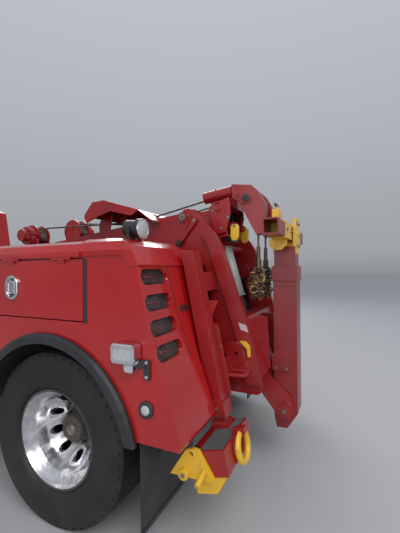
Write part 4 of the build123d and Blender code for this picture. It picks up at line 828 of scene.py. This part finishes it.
# The side bodies: blank plates, bolts, grip tape, and the lamps' lenses and bezels.
bodyPieces = {
    "vent_plate": ("chassis", "trim_plastic", ["lampDark"], [
        (plate, [(-0.7032, 1.283), (-0.6964, 1.318), (-0.706, 1.3195), (-0.7128, 1.2845)],
         0.803, 0.89, 0, 0.001)]),
    "grip_tape": ("leg_{side}_body", "black_rubber", ["gripTape"], [
        (plate, [(-1.024, 0.62), (-0.894, 0.5875), (-0.894, 0.589), (-1.024, 0.6215)], 0.812, 1.046),
        (plate, [(-1.024, 0.62), (-0.972, 0.607), (-0.972, 0.6085), (-1.024, 0.6215)], 0.67, 0.8)]),
    "side_lamp_trim": ("chassis", "bright_trim", ["lampClear", "chromeTrim", "trimBlack"], [
        (ring, (-0.696, 1.24, 0.84), left, 0.033, 0.0105, 2, 40, 10),
        (dome, (-0.696, 1.25, 0.84), left, 0.0245, 0.006, 0),
        (ring, (-0.696, 1.2515, 0.84), left, 0.013, 0.0014, 1, 24, 6),
        (box, (-0.664, 1.3005, 1.15), (-0.535, 1.306, 1.163), 1, 0.002),
        (box, (-0.664, 1.3005, 1.079), (-0.535, 1.306, 1.089), 1, 0.002),
        (box, (-0.666, 1.3005, 1.092), (-0.656, 1.306, 1.148), 1, 0.002),
        (box, (-0.545, 1.3005, 1.092), (-0.535, 1.306, 1.148), 1, 0.002),
        *[(box, (-0.651 + 0.0215 * k, 1.3004, 1.094), (-0.642 + 0.0215 * k, 1.304, 1.146), 0, 0.002)
          for k in range(5)],
        (box, (-0.652, 1.2925, 1.037), (-0.608, 1.296, 1.068), 0, 0.002),
        (box, (-0.312, 1.2351, 1.243), (-0.2895, 1.2375, 1.6), 2, 0.0008),
        *[(bolt, (-0.7045, 1.247, z), left, 0.0075, 1) for z in (1.004, 1.076)]]),
    "work_lamp_trim": ("chassis", "bright_trim", ["lampClear", "chromeTrim", "blackPaint"], [
        (ring, workLamp, lampWay, 0.056, 0.0045, 1, 40, 8),
        (spin, [(0.0, 0.052), (-0.012, 0.042), (-0.022, 0.02), (-0.024, 0.0)], (-0.521, 1.0, 1.7724), lampWay,
         1, 36),
        (dome, (-0.5215, 1.0, 1.7724), lampWay, 0.052, 0.009, 0, 32),
        (box, (-0.47, 0.93, 1.7), (-0.42, 1.07, 1.7075), 2, 0.002),
        *[(bolt, (-0.445, y, 1.707), upward, 0.008, 2) for y in (0.95, 1.05)],
        (box, (-0.462, 0.942, 1.706), (-0.44, 0.95, 1.785), 2, 0.002),
        (box, (-0.462, 1.05, 1.706), (-0.44, 1.058, 1.785), 2, 0.002)]),
    "pocket_lens": ("chassis", "lamp_lens", ["lampDark", "tailRed"], [
        row for middle in [pocketMiddle(z) + pocketWay * 0.0135 for z in pocketSpec["heights"]] for row in (
            (ring, middle + Vector((0, 0.05, 0)), faceWay, 0.03, 0.003, 0, 32, 6),
            *[(dome, middle + Vector((0, y, 0)), faceWay, 0.0095, 0.005, 1, 12)
              for y in (0.024, 0.05, 0.076)])]),
    "flap_bar": ("chassis", "black_paint", ["blackPaint", "wornSteel", "flapRubber"], [
        *[(bolt, (-0.6551, y, 0.64), back, 0.009, 1) for y in (0.7, 0.84, 0.98, 1.12)],
        (box, (-0.66, 0.65, 0.625), (-0.6552, 1.215, 0.655), 0, 0.0015),
        (box, (-0.659, 0.65, 0.186), (-0.6552, 1.215, 0.212), 2, 0.0015)]),
}

# Foot and leg hardware; the leg's bolts follow its slope.
footPieces = {
    "spade_boss": ("leg_{side}_body", "red_paint", ["yellowPaint", "wornSteel"], [
        (rod, (-0.823, 1.078, 0.468), (-0.823, 1.102, 0.468), 0.029, 0, 28, 0.004),
        (rod, (-0.823, 1.1, 0.468), (-0.823, 1.107, 0.468), 0.012, 1, 20, 0.002),
        (ring, (-0.863, 1.08, 0.577), left, 0.0165, 0.0035, 0, 28, 8)]),
    "leg_bolts": ("chassis", "red_paint", ["towerRed", "wornSteel"], [
        *[(bolt, (-0.856 - (1.12 - z) * 0.2, 0.6815, z), (0, -1, 0), 0.011, 1) for z in (1.12, 0.98, 0.84)],
        (bolt, (-0.888, 0.802, 0.7), left, 0.011, 1)]),
}
for pieces in (bodyPieces, footPieces):
    for side in signs:
        makeSide(side, pieces)

# Tower fittings: pin keepers, the latch bar, blank plates, the holder's yellow guard, and the lift hoses.
towerPieces = {
    "tower_fittings": ("chassis", "red_paint", [
        "towerRed", "wornSteel", "blackPaint", "blankLabel", "yellowPaint"], [
        (rod, (-0.505, 0.478, 1.915), (-0.505, 0.489, 1.915), 0.027, 1, 28, 0.003),
        (bolt, (-0.505, 0.488, 1.915), left, 0.013, 1),
        (plate, [(-0.603, 1.907), (-0.628, 1.888), (-0.482, 1.712), (-0.457, 1.731)], 0.4675, 0.48, 0, 0.002),
        (plate, [(-0.488, 1.752), (-0.512, 1.732), (-0.486, 1.702), (-0.458, 1.706), (-0.452, 1.728)],
         0.478, 0.5, 2, 0.004),
        (bolt, (-0.6, 0.48, 1.883), left, 0.011, 1),
        (plate, [(-0.93, 1.168), (-0.985, 1.152), (-1.0, 1.105), (-0.945, 1.12)], 0.485, 0.4868, 3, 0.0005),
        (plate, [(-0.944, 1.046), (-0.984, 1.046), (-1.014, 1.012), (-1.016, 0.945), (-1.0, 0.945),
                 (-0.992, 1.0), (-0.966, 1.022)], 0.484, 0.51, 4, 0.003),
        *[(ring, (place, 0.499, z), left, 0.014, 0.003, 0, 24, 6)
          for place, z in ((-0.838, 0.947), (-0.918, 0.962))],
        (ring, (-0.69, 0.405, 1.51), left, 0.066, 0.006, 0, 40, 8),
        (dome, (-0.69, 0.405, 1.51), left, 0.024, 0.012, 1)]),
}
hoseSpec = {
    "radius": 0.0095,
    "upper": [(-0.69, 0.372, 1.44), (-0.66, 0.365, 1.36), (-0.56, 0.36, 1.3), (-0.5, 0.35, 1.18),
              (-0.5, 0.33, 1.121)],
    "lower": [(-0.47, 0.3, 1.121), (-0.46, 0.31, 1.26), (-0.52, 0.3, 1.44), (-0.6, 0.2, 1.56),
              (-0.665, 0.055, 1.66)],
    "rear": [(-0.55, 0.36, 1.121), (-0.58, 0.372, 1.2), (-0.7, 0.38, 1.26), (-0.76, 0.385, 1.12),
             (-0.74, 0.38, 0.92), (-0.75, 0.36, 0.791)]}


def makeHose(name, places, sign, radius):
    curve = bpy.data.curves.new(name, "CURVE")
    curve.dimensions = "3D"
    spline = curve.splines.new("NURBS")
    spline.points.add(len(places) - 1)
    for point, (place, y, z) in zip(spline.points, places):
        point.co = (*at(place, sign * y, z), 1.0)
    spline.order_u = 3
    spline.use_endpoint_u = True
    curve.bevel_depth = radius
    curve.bevel_resolution = 4
    curve.resolution_u = 8
    curve.materials.append(mat["flapRubber"])
    hose = newObject(name, curve)
    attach(hose, "chassis")


for side, sign in signs.items():
    makeSide(side, towerPieces)
    for name in ("upper", "lower", "rear"):
        makeHose("tower_hose_" + name + "_" + side, hoseSpec[name], sign, hoseSpec["radius"])

# Boom tip: sheave pin bosses, the yellow hook on its lug, and a rubber pad under the tip.
tipPieces = {
    "sheave_boss": ("rope_head_{side}_body", "red_paint", ["towerRed", "blackPaint"], [
        (plate, [(-0.812, 2.103), (-0.868, 2.136), (-0.925, 2.12), (-0.95, 2.078), (-0.925, 2.036),
                 (-0.868, 2.032)], 0.1615, 0.173, 0, 0.003),
        (rod, (-0.9, 0.172, 2.078), (-0.9, 0.186, 2.078), 0.03, 1, 28, 0.004),
        (bolt, (-0.9, 0.185, 2.078), left, 0.013, 1),
        (ring, (-0.836, 0.173, 2.098), left, 0.009, 0.003, 1, 20, 6)]),
    "tip_hook": ("boom_body", "red_paint", ["towerRed", "yellowPaint", "wornSteel"], [
        (plate, [(-0.724, 1.905), (-0.796, 1.902), (-0.815, 1.884), (-0.812, 1.862), (-0.79, 1.85),
                 (-0.73, 1.85)], 0.09, 0.112, 0, 0.003),
        (plate, [(-0.783, 1.886), (-0.762, 1.872), (-0.758, 1.8), (-0.767, 1.764), (-0.786, 1.748),
                 (-0.812, 1.756), (-0.827, 1.786), (-0.829, 1.868), (-0.813, 1.886)], 0.114, 0.15, 1, 0.009),
        (rod, (-0.795, 0.084, 1.872), (-0.795, 0.157, 1.872), 0.012, 2, 20, 0.002),
        *[(bolt, (place, 0.188, z), left, 0.011, 2)
          for place, z in ((-0.63, 2.0), (-0.7, 1.85), (-0.755, 1.935))],
        (ring, (-0.67, 0.188, 2.03), left, 0.034, 0.009, 0, 36, 8),
        (ring, (-0.64, 0.118, 2.1322), (0.9908, 0, -0.1351), 0.0495, 0.004, 0, 40, 8)]),
}
padPieces = {
    "tip_pad": ("boom_body", "black_rubber", ["flapRubber"], [
        (plate, [(-0.7, 1.788), (-0.744, 1.793), (-0.756, 1.768), (-0.742, 1.748), (-0.704, 1.75)],
         -0.105, 0.105, 0, 0.006)]),
}
for side in signs:
    makeSide(side, tipPieces)
makeMiddle(padPieces)

# Rope wound on each drum, in turns that lie side by side.
drumSpec = {"turns": 7, "first": 0.0415, "pitch": 0.0163, "radius": 0.0863, "wire": 0.0079,
            "left": (1.5357, 1.9056), "right": (1.1188, 1.9567)}
for side in signs:
    place, z = drumSpec[side]
    rows = [(ring, (place, drumSpec["first"] + drumSpec["pitch"] * k, z), left, drumSpec["radius"],
             drumSpec["wire"], 0, 44, 8) for k in range(drumSpec["turns"])]
    sidePiece(build(rows), "drum_rope", side, "boom_body", ["wireRope"], "rope_steel")

# Chains gathered on each rope's ring: loose links in a heap, with two brass rings.
chainSpec = {"links": 74, "ring": 0.0150, "wire": 0.0052, "stretch": 1.45, "spread": (0.060, 0.046, 0.125),
             "middle": (-0.968, 0.118, 1.408), "brassEvery": 5}


def makeChainHeap(bm, spec):
    middle = at(*spec["middle"])
    for k in range(spec["links"]):
        before = set(bm.verts)
        number = 1 if k % spec["brassEvery"] == 0 else 0
        ring(bm, Vector(), left, spec["ring"], spec["wire"], number, 12, 6)
        verts = [v for v in bm.verts if v not in before]
        heading = Vector((random.gauss(0, 1), random.gauss(0, 1), random.gauss(0, 1))).normalized()
        reach = random.random() ** 0.4
        shift = Vector([heading[i] * reach * spec["spread"][i] for i in range(3)])
        turn = Matrix.Rotation(random.uniform(0, math.tau), 4, heading)
        place = Matrix.Translation(middle + shift) @ turn @ Matrix.Diagonal((1, 1, spec["stretch"], 1))
        bmesh.ops.transform(bm, matrix=place, verts=verts)
    ring(bm, middle + Vector((-0.035, 0.03, 0.045)), (0.3, 1.0, 0.2), 0.03, 0.009, 1, 24, 8)
    ring(bm, middle + Vector((0.02, 0.036, -0.04)), (-0.5, 1.0, 0.1), 0.026, 0.008, 1, 24, 8)


for side in signs:
    bm = bmesh.new()
    makeChainHeap(bm, chainSpec)
    sidePiece(bm, "chain_heap", side, "rope_head_" + side + "_body", ["chainSteel", "brassHook"],
              "rope_steel")

# Underlift fittings: the arm's wear plates, pin caps, the fork's block and tee, and the crossbar's ends.
underliftPieces = {
    "arm_plates": ("arm_body", "maroon_paint", ["maroonPaint", "wornSteel"], [
        row for sign in (1, -1) for row in (
            (plate, [(-1.213, 0.75), (-1.213, 0.862), (-1.188, 0.905), (-1.138, 0.93), (-1.096, 0.905),
                     (-1.074, 0.862), (-1.074, 0.75)], *sorted((sign * 0.0955, sign * 0.1085)), 0, 0.003),
            (plate, [(-1.252, 1.395), (-1.252, 1.415), (-1.092, 1.415), (-1.092, 1.395)],
             *sorted((sign * 0.0952, sign * 0.1005)), 0, 0.002),
            (bolt, (-1.105, sign * 0.1085, 0.775), (0, sign, 0), 0.009, 1),
            (bolt, (-1.182, sign * 0.1085, 0.775), (0, sign, 0), 0.009, 1))]),
    "fold_pin_caps": ("carriage_body", "cast_dark", ["wornSteel"], [
        (bolt, (-1.1715, sign * 0.1485, 0.47), (0, sign, 0), 0.015) for sign in (1, -1)]),
    "fork_fittings": ("stage_body", "maroon_paint", ["yellowPaint", "blackPaint", "wornSteel"], [
        (box, (-1.129, -0.085, 1.905), (-1.076, 0.085, 1.989), 0, 0.005),
        (rod, (-1.0975, -0.052, 2.032), (-1.0975, 0.052, 2.032), 0.011, 1, 16, 0.003),
        (box, (-1.118, -0.034, 1.984), (-1.078, 0.034, 1.998), 0, 0.003),
        (box, (-1.262, -0.06, 1.898), (-1.228, 0.06, 1.912), 0, 0.004),
        *[(bolt, (-1.2592, y, z), back, 0.011, 2) for y in (-0.052, 0.052) for z in (1.7, 1.87)]]),
    "crossbar_ends": ("crossbar_body", "maroon_paint", ["maroonPaint", "wornSteel"], [
        row for sign in (1, -1) for row in (
            *[(box, (-1.2265, sign * 0.535, z - 0.004), (-1.1165, sign * 0.5595, z + 0.004), 0, 0.002)
              for z in (1.755, 1.845)],
            (rod, (-1.1715, sign * 0.4, 1.853), (-1.1715, sign * 0.4, 1.868), 0.013, 1, 20, 0.002))]),
}
sleevePieces = {
    "crossbar_sleeve": ("crossbar_body", "maroon_paint", ["yellowPaint", "wornSteel"], [
        (box, (-1.231, 0.115, 1.7405), (-1.112, 0.35, 1.8595), 0, 0.004),
        (plate, [(-1.085, 1.742), (-1.215, 1.742), (-1.212, 1.7), (-1.176, 1.664), (-1.124, 1.664),
                 (-1.088, 1.7)], 0.205, 0.235, 0, 0.005),
        (ring, (-1.15, 0.22, 1.697), left, 0.024, 0.008, 0, 32, 8),
        *[(bolt, (-1.2305, y, 1.8), back, 0.012, 1) for y in (0.15, 0.315)]]),
}
makeMiddle(underliftPieces)
for side in signs:
    makeSide(side, sleevePieces)
print("stage: rear fittings made")

# Cab and front: mirror glass, grab rails, wipers, roof markers, lamp rings, tank straps and caps.
frontPieces = {
    "mirror_glass": ("cab_door_{side}_leaf", "bright_trim", ["chromeTrim", "trimBlack"], [
        (box, (4.812, 1.142, 1.86), (4.815, 1.278, 2.185), 0, 0.001),
        (box, (4.812, 1.142, 1.79), (4.815, 1.278, 1.845), 0, 0.001),
        (box, (4.814, 1.134, 1.782), (4.8165, 1.286, 2.193), 1, 0.001)]),
    "grab_rail": ("chassis", "bright_trim", ["chromeTrim"], [
        (rod, (3.7, 1.075, 1.24), (3.7, 1.075, 1.62), 0.0125, 0, 20),
        *[row for z in (1.255, 1.605) for row in (
            (rod, (3.7, 1.029, z), (3.7, 1.076, z), 0.01, 0, 16),
            (rod, (3.7, 1.0295, z), (3.7, 1.034, z), 0.021, 0, 20, 0.002))]]),
    "headlamp_trim": ("bonnet_shell", "bright_trim", ["chromeTrim", "lampClear"], [
        *[row for y in (0.8, 0.96) for row in (
            (ring, (6.201, y, 1.03), ahead, 0.072, 0.006, 0, 44, 8),
            (dome, (6.1975, y, 1.03), ahead, 0.068, 0.012, 1, 36))],
        (box, (6.1975, 0.716, 0.936), (6.203, 1.044, 0.946), 0, 0.002),
        (box, (6.1975, 0.716, 1.114), (6.203, 1.044, 1.124), 0, 0.002)]),
    "bonnet_catch": ("bonnet_shell", "trim_plastic", ["trimBlack"], [
        (box, (5.15, 0.87, 1.45), (5.165, 0.894, 1.5), 0, 0.003)]),
    "bumper_lamp": ("chassis", "bright_trim", ["chromeTrim", "lampClear", "wornSteel"], [
        (ring, (6.3505, 0.62, 0.58), ahead, 0.052, 0.006, 0, 40, 8),
        (dome, (6.348, 0.62, 0.58), ahead, 0.049, 0.01, 1, 32),
        *[(bolt, (6.3495, y, 0.69), ahead, 0.01, 2) for y in (0.4, 0.5, 0.76)]]),
}
strapSpec = {"places": (3.74, 4.08, 4.48), "width": 0.045, "top": 0.925, "inner": 0.3, "rise": 0.003}
fillerSpec = {"place": 3.64, "y": 0.96, "radius": 0.052, "ribs": 12, "rib": 0.004}


def fillerRows(spec):
    place, y, radius, rib = spec["place"], spec["y"], spec["radius"], spec["rib"]
    rows = [(rod, (place, y, 0.929), (place, y, 0.962), radius, 0, 32, 0.004)]
    for k in range(spec["ribs"]):
        turn = math.tau * k / spec["ribs"]
        x, across = place + radius * math.cos(turn), y + radius * math.sin(turn)
        rows.append((box, (x - rib, across - rib, 0.932), (x + rib, across + rib, 0.96), 0, 0.001))
    return rows


fillerPieces = {"tank_cap": ("chassis", "trim_plastic", ["trimBlack"], fillerRows(fillerSpec))}
for side, sign in signs.items():
    makeSide(side, frontPieces)
    for k, place in enumerate(strapSpec["places"]):
        makeCover("tank_strap_" + str(k) + "_" + side, "side_tanks", ["chromeTrim"], "bright_trim",
                  [((place, 0, 0), back), ((place + strapSpec["width"], 0, 0), ahead),
                   ((0, 0, strapSpec["top"]), upward)],
                  lambda middle, normal: sign * middle.y > strapSpec["inner"] and abs(normal.x) < 0.5,
                  strapSpec["rise"])
    makeSide(side, fillerPieces)

# Each wiper: an arm from its foot to its tip, a round foot, and a blade across the tip.
wiperRows = []
for foot, tip in ((0.18, 0.56), (-0.42, -0.04)):
    high = at(4.768, tip, 1.99)
    wiperRows += [
        (rod, (4.906, foot, 1.69), high, 0.007, 0, 10),
        (rod, (4.902, foot, 1.672), (4.926, foot, 1.683), 0.018, 0, 20, 0.003),
        (rod, high + Vector((0.02, -0.2, -0.048)), high + Vector((-0.018, 0.19, 0.044)), 0.006, 0, 8)]
makeMiddle({
    "wipers": ("chassis", "trim_plastic", ["trimBlack"], wiperRows),
    "roof_markers": ("chassis", "amber_lens", ["chromeTrim", "amberLens"], [
        row for y in (-0.62, -0.18, 0.0, 0.18, 0.62) for row in (
            (box, (4.345, y - 0.052, 2.5595), (4.405, y + 0.052, 2.57), 0, 0.003),
            (box, (4.352, y - 0.044, 2.569), (4.398, y + 0.044, 2.592), 1, 0.01))]),
})

# Bolt rows on the frame rails, seen below the body.
railSpec = {"first": -0.62, "pitch": 0.28, "count": 21, "heights": (0.945, 0.770), "skin": 0.4298}
boltRows = [(bolt, (railSpec["first"] + railSpec["pitch"] * k, railSpec["skin"], z), left, 0.01)
            for k in range(railSpec["count"]) for z in railSpec["heights"]]
for side in signs:
    sidePiece(build(boltRows), "rail_bolts", side, "chassis", ["blackPaint"], "black_paint")
print("stage: cab and frame fittings made")

# Camera, found from the rim, the arch and the body's lines in the photograph.
cameraSpec = {"station": -1.613, "y": 2.563, "z": 1.542, "yaw": 65.084, "pitch": 0.207, "roll": -0.581,
              "focalPixels": 320.0, "imageHeight": 533.0, "sensor": 36.0}


def placeCamera(spec):
    data = bpy.data.cameras.new("photoView")
    data.sensor_fit = "VERTICAL"
    data.sensor_height = spec["sensor"]
    data.lens = spec["focalPixels"] / spec["imageHeight"] * spec["sensor"]
    data.clip_end = 200.0
    camera = newObject("photoView", data)
    yaw, pitch, roll = (math.radians(spec[key]) for key in ("yaw", "pitch", "roll"))
    toward = Vector((math.cos(yaw) * math.cos(pitch), -math.sin(yaw) * math.cos(pitch), math.sin(pitch)))
    right = Vector((-math.sin(yaw), -math.cos(yaw), 0))
    above = right.cross(toward)
    rightRolled = right * math.cos(roll) + above * math.sin(roll)
    aboveRolled = above * math.cos(roll) - right * math.sin(roll)
    turn = Matrix((rightRolled, aboveRolled, -toward)).transposed().to_4x4()
    camera.matrix_world = Matrix.Translation(at(spec["station"], spec["y"], spec["z"])) @ turn
    bpy.context.scene.camera = camera


placeCamera(cameraSpec)
bpy.context.scene.view_settings.view_transform = "Standard"

# Floor and soft studio light.
floorSpec = {"half": 60.0, "colour": (0.42, 0.42, 0.43), "roughness": 0.75}


def makeFloor(spec):
    bm = bmesh.new()
    bmesh.ops.create_grid(bm, x_segments=1, y_segments=1, size=spec["half"])
    mesh = bpy.data.meshes.new("studioFloor")
    bm.to_mesh(mesh)
    bm.free()
    tree, shader = newMaterial("studioFloor")
    feed(tree, shader, Base_Color=(*spec["colour"], 1.0), Roughness=spec["roughness"])
    mesh.materials.append(mat["studioFloor"])
    floor = newObject("studioFloor", mesh)


makeFloor(floorSpec)

lightSpecs = [
    {"name": "keyLight", "place": (-9.0, 6.0, 9.0), "aim": (-2.5, 0.0, 1.2), "size": 7.0, "power": 700.0},
    {"name": "fillLight", "place": (-4.0, 11.0, 3.5), "aim": (-2.5, 0.0, 1.0), "size": 8.0, "power": 260.0},
    {"name": "rimLight", "place": (3.0, -8.0, 8.0), "aim": (-2.0, 0.0, 1.5), "size": 6.0, "power": 500.0},
]


def addLight(spec):
    data = bpy.data.lights.new(spec["name"], "AREA")
    data.shape = "SQUARE"
    data.size = spec["size"]
    data.energy = spec["power"]
    light = newObject(spec["name"], data)
    light.location = spec["place"]
    toward = Vector(spec["aim"]) - light.location
    light.rotation_euler = toward.to_track_quat("-Z", "Y").to_euler()


for spec in lightSpecs:
    addLight(spec)

skySpec = {"ground": (0.20, 0.20, 0.21), "horizon": (0.46, 0.48, 0.51), "zenith": (0.80, 0.85, 0.95),
           "groundEnd": 0.44, "horizonAt": 0.52, "strength": 0.75}


def makeSky(spec):
    world = bpy.data.worlds.new("studioSky")
    world.use_nodes = True
    bpy.context.scene.world = world
    tree = world.node_tree
    way = addNode(tree, "ShaderNodeTexCoord").outputs["Generated"]
    z = addNode(tree, "ShaderNodeSeparateXYZ", Vector=way).outputs["Z"]
    ramp = addNode(tree, "ShaderNodeValToRGB", Fac=maths(tree, "ADD", maths(tree, "MULTIPLY", z, 0.5), 0.5))
    stops = ramp.color_ramp.elements
    stops[0].position, stops[0].color = spec["groundEnd"], (*spec["ground"], 1)
    stops[1].position, stops[1].color = 1.0, (*spec["zenith"], 1)
    stops.new(spec["horizonAt"]).color = (*spec["horizon"], 1)
    feed(tree, tree.nodes["Background"], Color=ramp.outputs["Color"], Strength=spec["strength"])


makeSky(skySpec)
print("stage: camera, floor and light placed")
